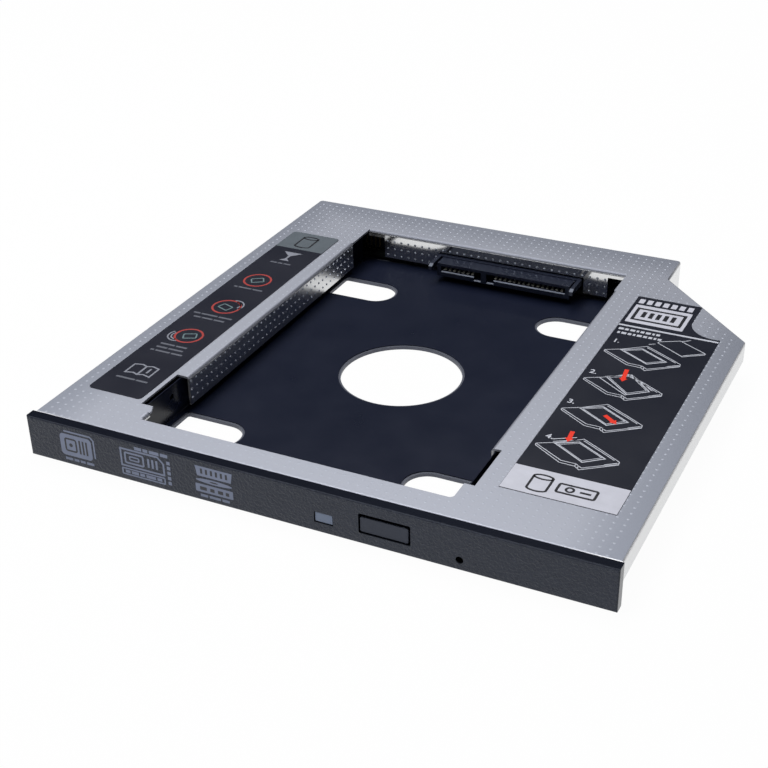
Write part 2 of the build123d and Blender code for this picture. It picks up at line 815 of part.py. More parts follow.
half_contact = contact_thickness / 2
contact_level = slot_floor + contact_gap + half_contact
drive_contact_line = [
    (connector_front + slot_lip_chamfer + contact_gap, contact_level + contact_bow / 3),
    (connector_front + slot_depth / 4, contact_level + contact_bow),
    (connector_front + slot_depth * 3 / 4, contact_level),
    (connector_rear + contact_foot / 2, contact_level),
    (connector_rear + contact_foot / 2, board_top + half_contact),
    (connector_rear + contact_foot * 3 / 2, board_top + half_contact),
]
signal_contacts = contact_row(drive_contact_line, contact_width, contact_places[:signal_count])
signal_contacts.label = "signal_contacts"
export_step(signal_contacts, "parts/signal_contacts.step")
power_contacts = contact_row(drive_contact_line, contact_width, contact_places[signal_count:])
power_contacts.label = "power_contacts"
export_step(power_contacts, "parts/power_contacts.step")

# Host connector: a shroud round two tongues, open at the rear
tongue_left = host_x - host_tongues_width / 2
host_signal_x = tongue_left + host_signal_width / 2
host_power_x = tongue_left + host_tongues_width - host_power_width / 2
host_contact_top = host_middle + host_tongue_thickness / 2
host_signal_places = [
    host_signal_x + (index - (signal_count - 1) / 2) * contact_pitch for index in range(signal_count)
]
host_power_places = [
    host_power_x + (index - (host_power_count - 1) / 2) * host_power_pitch
    for index in range(host_power_count)
]

with BuildPart() as host_connector:
    with Locations((host_x, host_front, board_top)):
        Box(host_width, host_depth, host_height, align=(Align.CENTER, Align.MIN, Align.MIN))
    with BuildSketch(Plane.XZ.offset(-rear)):
        with Locations((host_x, host_middle)):
            Rectangle(host_width - 2 * host_wall, host_height - 2 * host_wall)
    extrude(amount=host_cavity_depth, mode=Mode.SUBTRACT)
    with BuildSketch(Plane.XZ.offset(-rear + host_cavity_depth)):
        with Locations((host_signal_x, host_middle)):
            Rectangle(host_signal_width, host_tongue_thickness)
        with Locations((host_power_x, host_middle)):
            Rectangle(host_power_width, host_tongue_thickness)
    extrude(amount=-host_tongue_length)
    with BuildSketch(Plane.XZ.offset(-host_front)):
        with Locations(*[(x, host_contact_top) for x in host_signal_places + host_power_places]):
            Rectangle(
                contact_width + 2 * contact_gap,
                contact_thickness + 3 * contact_gap,
                align=(Align.CENTER, Align.MIN),
            )
    extrude(amount=-(host_depth - host_cavity_depth), mode=Mode.SUBTRACT)
host_connector.part.label = "host_connector"
export_step(host_connector.part, "parts/host_connector.step")

host_level = host_contact_top + contact_gap + half_contact
host_contact_line = [
    (rear - host_cavity_depth + host_tongue_length - contact_foot / 2, host_level),
    (host_front - contact_foot / 2, host_level),
    (host_front - contact_foot / 2, board_top + half_contact),
    (host_front - contact_foot * 3 / 2, board_top + half_contact),
]
host_signal_contacts = contact_row(host_contact_line, contact_width, host_signal_places)
host_signal_contacts.label = "host_signal_contacts"
export_step(host_signal_contacts, "parts/host_signal_contacts.step")
host_power_contacts = contact_row(host_contact_line, contact_width, host_power_places)
host_power_contacts.label = "host_power_contacts"
export_step(host_power_contacts, "parts/host_power_contacts.step")

# Screws and nuts that hold the frame, the tray and the bezel together
frame_screw = screw_form(frame_sheet, frame_screw_length)
bezel_screw = screw_form(tray_sheet, bezel_screw_length)

with BuildPart() as frame_screws:
    with Locations(*frame_screw_planes):
        add(frame_screw)
frame_screws.part.label = "frame_screws"
export_step(frame_screws.part, "parts/frame_screws.step")

with BuildPart() as bezel_screws:
    with Locations(*bezel_screw_planes):
        add(bezel_screw)
bezel_screws.part.label = "bezel_screws"
export_step(bezel_screws.part, "parts/bezel_screws.step")

with BuildPart() as rear_nuts:
    with BuildSketch(*nut_planes):
        RegularPolygon(nut_across_flats / 2, 6, major_radius=False)
        Circle(nut_bore_radius, mode=Mode.SUBTRACT)
    extrude(amount=-nut_length)
rear_nuts.part.label = "rear_nuts"
export_step(rear_nuts.part, "parts/rear_nuts.step")

# Labels on the top of the frame
with BuildPart() as left_label:
    with BuildSketch(Plane.XY.offset(body_height)) as label_face:
        with Locations((left + left_label_inset, front + left_label_start)):
            Rectangle(left_label_width, left_label_length, align=(Align.MIN, Align.MIN))
        fillet(label_face.vertices(), label_corner_radius)
    extrude(amount=label_thickness)
left_label.part.label = "left_label"
export_step(left_label.part, "parts/left_label.step")

with BuildPart() as right_label:
    label_left = left + right_label_inset
    label_right = label_left + right_label_width
    block_right = label_left + right_label_block_width
    label_front = front + right_label_start
    field_rear = label_front + right_label_field_length
    block_front = field_rear + right_label_sweep
    block_rear = block_front + right_label_block_length
    with BuildSketch(Plane.XY.offset(body_height)):
        with BuildLine():
            Polyline(
                (block_right, block_front),
                (block_right, block_rear),
                (label_left, block_rear),
                (label_left, label_front),
                (label_right, label_front),
                (label_right, field_rear),
            )
            ThreePointArc(
                (label_right, field_rear),
                ((block_right + label_right) / 2 - right_label_dip, field_rear + right_label_dip),
                (block_right, block_front),
            )
        make_face()
    extrude(amount=label_thickness)
right_label.part.label = "right_label"
export_step(right_label.part, "parts/right_label.step")
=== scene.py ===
"""Looks of the laptop drive caddy: its finishes, raised dots, printed labels, studio and camera.

The classes hold their sizes in millimetres, measured from the caddy's own corner: x to the right from the
body's left side, y back from the body's front and z up from the underside. Datum turns them into metres in
the frame's axes.
"""

import logging
import math
from dataclasses import dataclass, field
from enum import Enum
from typing import Any, Sequence

import bmesh
import bpy
from mathutils import Matrix, Vector


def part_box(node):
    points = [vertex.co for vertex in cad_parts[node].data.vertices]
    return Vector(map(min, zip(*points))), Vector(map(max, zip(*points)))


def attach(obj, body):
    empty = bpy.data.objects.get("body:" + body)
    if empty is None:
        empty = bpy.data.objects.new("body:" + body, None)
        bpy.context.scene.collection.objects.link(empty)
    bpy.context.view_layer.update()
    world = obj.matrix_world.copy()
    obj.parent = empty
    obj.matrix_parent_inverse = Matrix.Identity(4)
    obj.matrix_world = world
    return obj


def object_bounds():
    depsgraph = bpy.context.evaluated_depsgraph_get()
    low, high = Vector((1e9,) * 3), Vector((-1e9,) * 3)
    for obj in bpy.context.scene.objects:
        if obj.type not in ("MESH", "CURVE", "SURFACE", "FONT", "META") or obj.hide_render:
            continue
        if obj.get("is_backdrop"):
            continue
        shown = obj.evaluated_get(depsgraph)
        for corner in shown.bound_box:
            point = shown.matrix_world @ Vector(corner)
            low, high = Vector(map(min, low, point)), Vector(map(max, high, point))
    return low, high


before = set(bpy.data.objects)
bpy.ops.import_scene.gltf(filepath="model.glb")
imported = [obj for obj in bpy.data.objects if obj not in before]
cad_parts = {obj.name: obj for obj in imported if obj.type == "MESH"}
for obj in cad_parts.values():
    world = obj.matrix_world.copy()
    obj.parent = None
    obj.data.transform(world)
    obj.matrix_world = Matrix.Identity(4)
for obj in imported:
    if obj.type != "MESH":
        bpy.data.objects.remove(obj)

LOG = logging.getLogger("drive_caddy")
MM = 0.001
CADDY = "caddy"
Point = tuple[float, float]
Box = tuple[float, float, float, float]
Colour = tuple[float, float, float, float]
Dome = tuple[Vector, Vector, float]
Tree = bpy.types.NodeTree
Node = bpy.types.Node
Socket = bpy.types.NodeSocket
WHITE: Colour = (1.0, 1.0, 1.0, 1.0)
COOL_SHINE: Colour = (0.74, 0.82, 1.0, 1.0)  # Carbon black gives the shine of a black piece a blue cast.
NOISE_SPAN = {"From Min": 0.3, "From Max": 0.7}  # Most values of a noise lie between these.
INK_FILM = 0.012  # Thickness of one layer of ink, in millimetres.
ARC_STEPS = 14  # Edges of a drawn part of a ring.
SHARPEST_MITRE = 0.35  # Below this the corner of a line is cut short, so that it makes no spike.
SAME_PLACE = 1e-7  # Corners that lie closer than this many metres are one.


class Sheen(Enum):
    """How shiny a surface is, as a roughness."""

    BRIGHT = 0.28
    SATIN = 0.42
    MATT = 0.6


class Side(Enum):
    """Which way a face of the caddy looks, as its outward direction."""

    TOP = (0.0, 0.0, 1.0)
    FRONT = (0.0, -1.0, 0.0)
    LEFT_FLANGE = (1.0, 0.0, 0.0)
    RIGHT_FLANGE = (-1.0, 0.0, 0.0)


def linear(hex_colour: str) -> Colour:
    """Turn an sRGB hex colour into linear light.

    Args:
        hex_colour: Six hex digits, such as "b4b8c0".

    Returns:
        Red, green, blue and an alpha of 1, in linear light.
    """
    channels = [int(hex_colour[i : i + 2], 16) / 255 for i in (0, 2, 4)]
    light = [c / 12.92 if c <= 0.04045 else ((c + 0.055) / 1.055) ** 2.4 for c in channels]
    return light[0], light[1], light[2], 1.0


def per_metre(size_mm: float) -> float:
    """Return the texture scale that repeats a pattern every size_mm on Object coordinates in metres."""
    return 1.0 / (size_mm * MM)


def add_node(tree: Tree, kind: str, inputs: dict | None = None, **options: Any) -> Node:
    """Add a node to a tree, set its options and fill its inputs.

    Args:
        tree: The shader or geometry tree.
        kind: The node's type name.
        inputs: Input name or number, to a value or to the socket that feeds it.
        options: The node's own settings.

    Returns:
        The new node.
    """
    node = tree.nodes.new(kind)
    for option, value in options.items():
        setattr(node, option, value)
    for key, value in (inputs or {}).items():
        if isinstance(value, Socket):
            tree.links.new(value, node.inputs[key])
        else:
            node.inputs[key].default_value = value
    return node


@dataclass(frozen=True)
class Finish:
    """A surface as its maker would order it: a base stuff, a colour, a shine and a fine grain."""

    name: str
    colour: str
    metallic: float = 0.0
    roughness: float = Sheen.SATIN.value
    ior: float = 1.5
    grain_mm: float = 0.0
    grain_depth_mm: float = 0.0
    roughness_spread: float = 0.0
    colour_spread: float = 0.0
    patch_mm: float = 12.0
    shine: Colour = WHITE
    grain_contrast: float = 0.5
    grain_twist: float = 0.0

    def material(self) -> bpy.types.Material:
        """Build the finish as a material once, and share it from then on.

        Returns:
            The material.
        """
        found = bpy.data.materials.get(self.name)
        if found:
            return found
        made = bpy.data.materials.new(self.name)
        made.use_nodes = True
        tree = made.node_tree
        tree.nodes.clear()
        shader = add_node(
            tree,
            "ShaderNodeBsdfPrincipled",
            {"Base Color": linear(self.colour), "Metallic": self.metallic, "Roughness": self.roughness},
        )
        if self.metallic == 0.0:
            shader.inputs["IOR"].default_value = self.ior
            shader.inputs["Specular Tint"].default_value = self.shine
        self.dress(tree, shader, add_node(tree, "ShaderNodeTexCoord").outputs["Object"])
        add_node(tree, "ShaderNodeOutputMaterial", {"Surface": shader.outputs["BSDF"]})
        made.diffuse_color = linear(self.colour)
        return made

    def dress(self, tree: Tree, shader: Node, place: Socket) -> None:
        """Add the slow changes of shine and colour and the grain to the plain shader.

        Args:
            tree: The material's tree.
            shader: Its main shader.
            place: Object coordinates.
        """
        self.mottle(tree, shader, place)
        if self.grain_mm:
            self.grain(tree, shader, place)

    def mottle(self, tree: Tree, shader: Node, place: Socket) -> None:
        """Vary the shine and the colour a little in soft patches, as far as the finish spreads them.

        Args:
            tree: The material's tree.
            shader: Its main shader.
            place: Object coordinates.
        """
        if not (self.roughness_spread or self.colour_spread):
            return
        patches = add_node(
            tree,
            "ShaderNodeTexNoise",
            {"Vector": place, "Scale": per_metre(self.patch_mm), "Detail": 3.0, "Roughness": 0.55},
        ).outputs["Fac"]
        if self.roughness_spread:
            tree.links.new(self.spread(tree, patches), shader.inputs["Roughness"])
        if self.colour_spread:
            dark, light = (
                tuple(min(channel * share, 1.0) for channel in linear(self.colour)[:3]) + (1.0,)
                for share in (1 - self.colour_spread, 1 + self.colour_spread)
            )
            ramp = add_node(tree, "ShaderNodeMapRange", {"Value": patches, **NOISE_SPAN}).outputs["Result"]
            mix = add_node(tree, "ShaderNodeMix", {0: ramp, 6: dark, 7: light}, data_type="RGBA")
            tree.links.new(mix.outputs[2], shader.inputs["Base Color"])

    def spread(self, tree: Tree, pattern: Socket) -> Socket:
        """Spread the roughness by a pattern, as far either side of its middle as the finish says.

        Args:
            tree: The material's tree.
            pattern: A noise.

        Returns:
            The roughness.
        """
        low, high = self.roughness - self.roughness_spread, self.roughness + self.roughness_spread
        span = {"Value": pattern, **NOISE_SPAN, "To Min": low, "To Max": high}
        return add_node(tree, "ShaderNodeMapRange", span).outputs["Result"]

    def grain(self, tree: Tree, shader: Node, place: Socket, share: Socket | None = None) -> Socket:
        """Roughen the surface with an even grain of the finish's own size and depth.

        Args:
            tree: The material's tree.
            shader: Its main shader.
            place: Object coordinates.
            share: How deep the grain is at a place, from 0 to 1, or None where it is even.

        Returns:
            The grain's pattern.
        """
        noise = add_node(
            tree,
            "ShaderNodeTexNoise",
            {
                "Vector": place,
                "Scale": per_metre(self.grain_mm),
                "Detail": 2.0,
                "Roughness": self.grain_contrast,
                "Distortion": self.grain_twist,
            },
        ).outputs["Fac"]
        height = noise
        if share:
            height = add_node(tree, "ShaderNodeMath", {0: noise, 1: share}, operation="MULTIPLY").outputs[0]
        bump = add_node(
            tree, "ShaderNodeBump", {"Height": height, "Strength": 1.0, "Distance": self.grain_depth_mm * MM}
        )
        tree.links.new(bump.outputs["Normal"], shader.inputs["Normal"])
        return noise


@dataclass(frozen=True)
class StampedAluminium(Finish):
    """Aluminium sheet: its flat top is blasted to a grey satin, its folded walls stay bright as rolled.

    The side walls are worn smooth by drives that slide past them. The walls at the rear keep the mill's
    shine.
    Painted shade darkens the top near its outer edges and the bends by the bay; outer bends get painted
    highlight.
    """

    name: str = "stamped_anodised_aluminium"
    colour: str = "d8d9da"
    metallic: float = 1.0
    roughness: float = Sheen.MATT.value
    satin_colour: str = "acafb9"
    # Painted shade: the flat top turns to this darker grey near its outer edges.
    edge_shade_colour: str = "979ba6"
    # Painted shade on the bends along the bay, darker still at its rear.
    inner_bend_shade_colour: str = "a2a5b0"
    rear_bend_shade_colour: str = "7d808a"
    # Painted highlight on the bends at the outer edges.
    outer_bend_highlight_colour: str = "e4e4e6"
    wall_metallic: float = 0.97  # A thin haze of oxide on the walls scatters a little light.
    wall_roughness: float = 0.28
    rear_roughness: float = 0.1
    flat_mm: Point = (8.75, 9.0)
    bend_mm: Point = (9.46, 9.495)
    rear_mm: Point = (46.0, 47.0)
    grain_mm: float = 0.35  # The real grain is finer. This is as fine as the picture shows.
    grain_depth_mm: float = 0.004
    grain_contrast: float = 0.6
    roughness_spread: float = 0.03
    edge_shade_width_mm: float = 14.0
    half_width_mm: float = 64.0
    back_mm: float = 64.7

    def dress(self, tree: Tree, shader: Node, place: Socket) -> None:
        """Add the satin of the flat top with its blasted grain, and the brighter walls below it.

        Args:
            tree: The material's tree.
            shader: Its main shader.
            place: Object coordinates.
        """
        parts = add_node(tree, "ShaderNodeSeparateXYZ", {"Vector": place}).outputs
        flat, level, rear = (
            add_node(
                tree,
                "ShaderNodeMapRange",
                {"Value": parts[axis], "From Min": start * MM, "From Max": end * MM},
            ).outputs["Result"]
            for axis, (start, end) in (("Z", self.flat_mm), ("Z", self.bend_mm), ("Y", self.rear_mm))
        )
        walls = add_node(
            tree,
            "ShaderNodeMix",
            {0: rear, 2: self.wall_roughness, 3: self.rear_roughness},
            data_type="FLOAT",
        ).outputs[0]
        blasted = self.spread(tree, self.grain(tree, shader, place, flat))
        for socket, wall, top in (
            ("Roughness", walls, blasted),
            ("Metallic", self.wall_metallic, self.metallic),
        ):
            mix = add_node(tree, "ShaderNodeMix", {0: flat, 2: wall, 3: top}, data_type="FLOAT")
            tree.links.new(mix.outputs[0], shader.inputs[socket])
        tree.links.new(self.sheet_colour(tree, parts, flat, level, rear), shader.inputs["Base Color"])

    def sheet_colour(self, tree: Tree, parts: Any, flat: Socket, level: Socket, rear: Socket) -> Socket:
        """Colour the flat top a grey that deepens near its edges as painted shade, and its bends and walls
        their own.

        Args:
            tree: The material's tree.
            parts: The X, Y and Z of the Object coordinates.
            flat: 1 on the flat top and 0 on the walls.
            level: 1 where the top is level and 0 where it bends.
            rear: 1 at the rear of the sheet and 0 before it.

        Returns:
            The sheet's colour.
        """
        # A mask that rises near the outer sides and the rear: it carries the top's painted shade and the
        # outer bends' painted highlight.
        aside = add_node(tree, "ShaderNodeMath", {0: parts["X"]}, operation="ABSOLUTE").outputs[0]
        near = [
            add_node(
                tree,
                "ShaderNodeMapRange",
                {"Value": value, "From Min": (end - self.edge_shade_width_mm) * MM, "From Max": end * MM},
                interpolation_type="SMOOTHSTEP",
            ).outputs["Result"]
            for value, end in ((aside, self.half_width_mm), (parts["Y"], self.back_mm))
        ]
        edge = add_node(tree, "ShaderNodeMath", {0: near[0], 1: near[1]}, operation="MAXIMUM").outputs[0]
        layers: dict[str, Any] = {
            "wall": linear(self.colour),
            "satin": linear(self.satin_colour),
            "edge": linear(self.edge_shade_colour),
            "inner": linear(self.inner_bend_shade_colour),
            "rear": linear(self.rear_bend_shade_colour),
            "outer": linear(self.outer_bend_highlight_colour),
        }
        # Mix in the painted shade near the edges, then the bends' painted shade and painted highlight, then
        # the walls.
        for name, share, first, second in (
            ("satin", edge, "satin", "edge"),
            ("inner", rear, "inner", "rear"),
            ("bend", edge, "inner", "outer"),
            ("top", level, "bend", "satin"),
            ("sheet", flat, "wall", "top"),
        ):
            pair = {0: share, 6: layers[first], 7: layers[second]}
            layers[name] = add_node(tree, "ShaderNodeMix", pair, data_type="RGBA").outputs[2]
        return layers["sheet"]


@dataclass(frozen=True)
class CoatedSteel(Finish):
    """Steel sheet with a thin black coat: satin, with the faint orange peel of paint."""

    name: str = "black_coated_steel"
    colour: str = "171a23"
    roughness: float = 0.34
    ior: float = 1.35
    grain_mm: float = 0.5
    grain_depth_mm: float = 0.003
    roughness_spread: float = 0.04
    shine: Colour = COOL_SHINE


@dataclass(frozen=True)
class PolyesterFilm(Finish):
    """Black polyester insulating film: smooth and lightly glossy, not quite flat where it is laid."""

    name: str = "black_polyester_film"
    colour: str = "151a2b"
    roughness: float = 0.3
    ior: float = 1.35
    grain_mm: float = 4.0
    grain_depth_mm: float = 0.006
    roughness_spread: float = 0.03
    colour_spread: float = 0.06


@dataclass(frozen=True)
class SparkErodedPlastic(Finish):
    """ABS moulded in a spark-eroded mould: near black, leathery on its front face and smooth elsewhere."""

    name: str = "spark_textured_abs"
    colour: str = "0f121d"
    roughness: float = 0.3
    side_roughness: float = 0.2
    rounding_roughness: float = 0.4
    grain_mm: float = 0.6  # Real spark grain is about 0.1 mm. This is as fine as the picture shows.
    grain_depth_mm: float = 0.3
    grain_contrast: float = 0.6
    grain_twist: float = 0.6
    colour_spread: float = 0.08
    front_mm: float = -64.73
    rounding_mm: float = 0.3
    shine: Colour = COOL_SHINE

    def dress(self, tree: Tree, shader: Node, place: Socket) -> None:
        """Roughen the front face and its rounded edges, and leave the other sides smoother.

        Args:
            tree: The material's tree.
            shader: Its main shader.
            place: Object coordinates.
        """
        self.mottle(tree, shader, place)
        depth = add_node(tree, "ShaderNodeSeparateXYZ", {"Vector": place}).outputs["Y"]
        front = add_node(
            tree,
            "ShaderNodeMapRange",
            {
                "Value": depth,
                "From Min": self.front_mm * MM,
                "From Max": (self.front_mm + self.rounding_mm) * MM,
                "To Min": 1.0,
                "To Max": 0.0,
            },
        ).outputs["Result"]
        face = add_node(
            tree, "ShaderNodeMix", {0: front, 2: self.side_roughness, 3: self.roughness}, data_type="FLOAT"
        ).outputs[0]
        behind = add_node(tree, "ShaderNodeMath", {0: 1.0, 1: front}, operation="SUBTRACT").outputs[0]
        rounding = add_node(tree, "ShaderNodeMath", {0: front, 1: behind}, operation="MULTIPLY").outputs[0]
        # That product is a quarter at the middle of the rounding, so it counts four times.
        rough = add_node(
            tree,
            "ShaderNodeMath",
            {0: rounding, 1: 4 * self.rounding_roughness, 2: face},
            operation="MULTIPLY_ADD",
        )
        tree.links.new(rough.outputs[0], shader.inputs["Roughness"])
        self.grain(tree, shader, place, front)


@dataclass(frozen=True)
class ConnectorPolymer(Finish):
    """Black liquid crystal polymer: smooth from a polished mould, with a cool dark shine."""

    name: str = "moulded_liquid_crystal_polymer"
    colour: str = "1d212f"
    roughness: float = Sheen.BRIGHT.value
    grain_mm: float = 0.3
    grain_depth_mm: float = 0.002
    roughness_spread: float = 0.04
    shine: Colour = COOL_SHINE


@dataclass(frozen=True)
class WindowPlastic(Finish):
    """Frosted polycarbonate light pipe: pale blue grey, letting a little light through its face."""

    name: str = "frosted_polycarbonate"
    colour: str = "6e7c95"
    roughness: float = 0.35
    ior: float = 1.58
    milkiness: float = 0.3
    scatter_mm: tuple[float, float, float] = (0.6, 0.7, 0.9)
    grain_mm: float = 0.4
    grain_depth_mm: float = 0.006

    def dress(self, tree: Tree, shader: Node, place: Socket) -> None:
        """Let some light scatter inside the plastic.

        Args:
            tree: The material's tree.
            shader: Its main shader.
            place: Object coordinates.
        """
        shader.inputs["Subsurface Weight"].default_value = self.milkiness
        shader.inputs["Subsurface Radius"].default_value = [reach * MM for reach in self.scatter_mm]
        self.grain(tree, shader, place)


@dataclass(frozen=True)
class GoldPlate(Finish):
    """A flash of gold over nickel on a spring strip: pale, bright and smooth."""

    name: str = "gold_plated_bronze"
    colour: str = "f0ece0"
    metallic: float = 1.0
    roughness: float = Sheen.SATIN.value
    roughness_spread: float = 0.05
    patch_mm: float = 1.0


@dataclass(frozen=True)
class LabelFilm(Finish):
    """Printed polyester label under a matt laminate: even dark ink with a soft shine."""

    name: str = "laminated_label_film"
    colour: str = "1a1c29"
    roughness: float = 0.32
    grain_mm: float = 0.6
    grain_depth_mm: float = 0.002
    roughness_spread: float = 0.03
    colour_spread: float = 0.04


@dataclass(frozen=True)
class Ink(Finish):
    """Printing ink under the label's laminate, or rubbed-in paint on moulded plastic."""

    roughness: float = 0.4
    grain_mm: float = 0.6
    grain_depth_mm: float = 0.001
    colour_spread: float = 0.05
    patch_mm: float = 3.0


@dataclass(frozen=True)
class CircuitBoard(Finish):
    """Glass and epoxy board under black solder mask: smooth and glossy."""

    name: str = "black_solder_mask"
    colour: str = "101412"
    roughness: float = 0.3
    grain_mm: float = 0.8
    grain_depth_mm: float = 0.004
    colour_spread: float = 0.1


@dataclass(frozen=True)
class FiredCeramic(Finish):
    """Barium titanate chip: dull tan, with a fired, slightly chalky face."""

    name: str = "fired_barium_titanate"
    colour: str = "8d6f50"
    roughness: float = Sheen.MATT.value
    grain_mm: float = 0.3
    grain_depth_mm: float = 0.004
    colour_spread: float = 0.08


@dataclass(frozen=True)
class ZincPlate(Finish):
    """Zinc plated steel, black or clear: smooth turned metal with a soft shine."""

    name: str = "zinc_plated_steel"
    colour: str = "a9abae"
    metallic: float = 1.0
    roughness: float = 0.34
    grain_mm: float = 0.2
    grain_depth_mm: float = 0.002
    roughness_spread: float = 0.05
    patch_mm: float = 2.0


LIGHT_INK = Ink("light_grey_ink", "c6c9d3")
PANEL_INK = Ink("pale_panel_ink", "cacbd6")
DARK_INK = Ink("dark_ink", "15161e")
RED_INK = Ink("red_ink", "f0331a")
DULL_RED_INK = Ink("dull_red_ink", "a83c38")
HEADER_INK = Ink("grey_green_ink", "5b636a")
SIGN_INK = Ink("mid_grey_ink", "888b96")
CAPTION_INK = Ink("dim_grey_ink", "62656f")
TEAL_INK = Ink("pale_teal_ink", "6b8084")
BEZEL_INK = Ink("blue_grey_ink", "79829a")
BEZEL_GROUND_INK = Ink("bezel_ground_ink", "1f222b")


@dataclass(frozen=True)
class Datum:
    """The corner that the caddy's own measures start from."""

    left: float
    front: float
    base: float

    @classmethod
    def of_frame(cls) -> "Datum":
        """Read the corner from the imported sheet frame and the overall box."""
        low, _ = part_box("top_frame")
        return cls(low.x, low.y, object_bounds()[0].z)

    def point(self, x: float, y: float, z: float) -> Vector:
        """Return a point of the caddy in the frame's metres.

        Args:
            x: Millimetres right of the body's left side.
            y: Millimetres behind the body's front.
            z: Millimetres above the underside.

        Returns:
            The same point in the row frame.
        """
        return Vector((self.left + x * MM, self.front + y * MM, self.base + z * MM))


@dataclass
class PrintFace:
    """A flat face that carries print, with its own axes."""

    origin: Vector
    across: Vector
    up: Vector

    def at(self, point: Sequence[float], level: float) -> Vector:
        """Return a printed point in metres, a level in millimetres above the face."""
        out = self.across.cross(self.up)
        return self.origin + (self.across * point[0] + self.up * point[1] + out * level) * MM


@dataclass
class InkLayer:
    """All shapes of one ink on one face, gathered into one thin mesh."""

    name: str
    face: PrintFace
    ink: Ink
    slot: str
    level: float = 0.0
    film: float = INK_FILM
    numeral_weight: float = 0.05
    numeral_share: float = 0.72  # A numeral's height as a share of its type's size.
    caption_gap: float = 0.35
    areas: list[list[Point]] = field(default_factory=list)

    def area(self, points: Sequence[Point]) -> None:
        """Add one filled outline."""
        self.areas.append([(float(x), float(y)) for x, y in points])

    def box(self, x0: float, y0: float, x1: float, y1: float, radius: float = 0.0) -> None:
        """Add a filled rectangle, with rounded corners where a radius is given."""
        self.area(rounded_box(x0, y0, x1, y1, radius))

    def bars(self, count: int, step: Point, first: Box, radius: float = 0.0) -> None:
        """Add a row of equal rectangles.

        Args:
            count: How many there are.
            step: How far each lies from the one before it.
            first: The left, lower, right and upper side of the first.
            radius: Their corners' radius.
        """
        x0, y0, x1, y1 = first
        for i in range(count):
            aside, above = i * step[0], i * step[1]
            self.box(x0 + aside, y0 + above, x1 + aside, y1 + above, radius)

    def disc(self, centre: Point, radius: float, count: int = 24) -> None:
        """Add a filled circle."""
        self.area(circle(centre, radius, radius, count))

    def line(self, points: Sequence[Point], width: float, closed: bool = False) -> None:
        """Add a line of even width with mitred corners.

        Args:
            points: The line's corners.
            width: Its width in millimetres.
            closed: Whether the last point joins the first.
        """
        path = [Vector(p) for p in points]
        count = len(path)
        sides = []
        for i, here in enumerate(path):
            ahead = path[(i + 1) % count] - here if closed or i < count - 1 else None
            behind = here - path[i - 1] if closed or i > 0 else None
            first = (behind or ahead).normalized()
            second = (ahead or behind).normalized()
            normal = Vector((-first.y, first.x))
            mitre = normal + Vector((-second.y, second.x))
            mitre = mitre.normalized() if mitre.length > 1e-6 else normal
            reach = width / 2 / max(mitre.dot(normal), SHARPEST_MITRE)
            sides.append((here + mitre * reach, here - mitre * reach))
        for i in range(count if closed else count - 1):
            (a, b), (c, d) = sides[i], sides[(i + 1) % count]
            self.areas.append([tuple(a), tuple(b), tuple(d), tuple(c)])

    def ring(self, centre: Point, radius: float, width: float, count: int = 40) -> None:
        """Add a ring of even width."""
        self.line(circle(centre, radius, radius, count), width, closed=True)

    def arc(self, centre: Point, radius: float, start: float, end: float, width: float) -> None:
        """Add part of a ring.

        Args:
            centre: The ring's middle.
            radius: Its radius.
            start: The angle where the part starts, in degrees.
            end: The angle where it ends.
            width: The line's width.
        """
        turns = [math.radians(start + (end - start) * i / ARC_STEPS) for i in range(ARC_STEPS + 1)]
        points = [(centre[0] + radius * math.cos(t), centre[1] + radius * math.sin(t)) for t in turns]
        self.line(points, width)

    def caption(self, x: float, y: float, length: float, height: float, blocks: Sequence[float]) -> None:
        """Add a row of small blocks that stands for a line of small print.

        Args:
            x: Left end of the row.
            y: Its middle height.
            length: Its whole length.
            height: The blocks' height.
            blocks: Relative widths of the blocks, each followed by a small gap.
        """
        gap = self.caption_gap
        scale = (length - gap * (len(blocks) - 1)) / sum(blocks)
        for share in blocks:
            self.box(x, y - height / 2, x + share * scale, y + height / 2)
            x += share * scale + gap

    def numeral(self, digit: int, x: float, y: float, height: float) -> None:
        """Add a plain numeral and its full stop.

        Args:
            digit: The number.
            x: Its left end.
            y: The line that it stands on.
            height: Its height.
        """
        curve = bpy.data.curves.new("numeral", "FONT")
        curve.body = f"{digit}."
        curve.size = height / self.numeral_share
        curve.offset = self.numeral_weight
        letter = bpy.data.objects.new("numeral", curve)
        bpy.context.scene.collection.objects.link(letter)
        bpy.context.view_layer.update()
        mesh = bpy.data.meshes.new_from_object(letter.evaluated_get(bpy.context.evaluated_depsgraph_get()))
        for polygon in mesh.polygons:
            corners = [mesh.vertices[i].co for i in polygon.vertices]
            self.area([(x + corner.x, y + corner.y) for corner in corners])
        bpy.data.objects.remove(letter)
        bpy.data.curves.remove(curve)
        bpy.data.meshes.remove(mesh)

    def build(self) -> bpy.types.Object:
        """Build the layer as one closed mesh that rides on the caddy.

        Returns:
            The new piece.
        """
        shape = bmesh.new()
        for outline in self.areas:
            corners = [shape.verts.new(self.face.at(point, self.level)) for point in outline]
            shape.faces.new(corners)
        bmesh.ops.remove_doubles(shape, verts=shape.verts, dist=SAME_PLACE)
        out = self.face.across.cross(self.face.up)
        shape.normal_update()
        for face in shape.faces:
            if face.normal.dot(out) < 0:
                face.normal_flip()
        bottoms = list(shape.faces)
        raised = bmesh.ops.extrude_face_region(shape, geom=bottoms, use_keep_orig=True)
        tops = [item for item in raised["geom"] if isinstance(item, bmesh.types.BMVert)]
        bmesh.ops.translate(shape, verts=tops, vec=out * self.film * MM)
        for face in bottoms:
            if face.is_valid:
                face.normal_flip()
        return finish_piece(self.name, shape, self.ink)


def circle(centre: Point, across: float, up: float, count: int = 32) -> list[Point]:
    """Return the corners of a circle or an upright ellipse."""
    turns = [math.tau * i / count for i in range(count)]
    return [(centre[0] + across * math.cos(t), centre[1] + up * math.sin(t)) for t in turns]


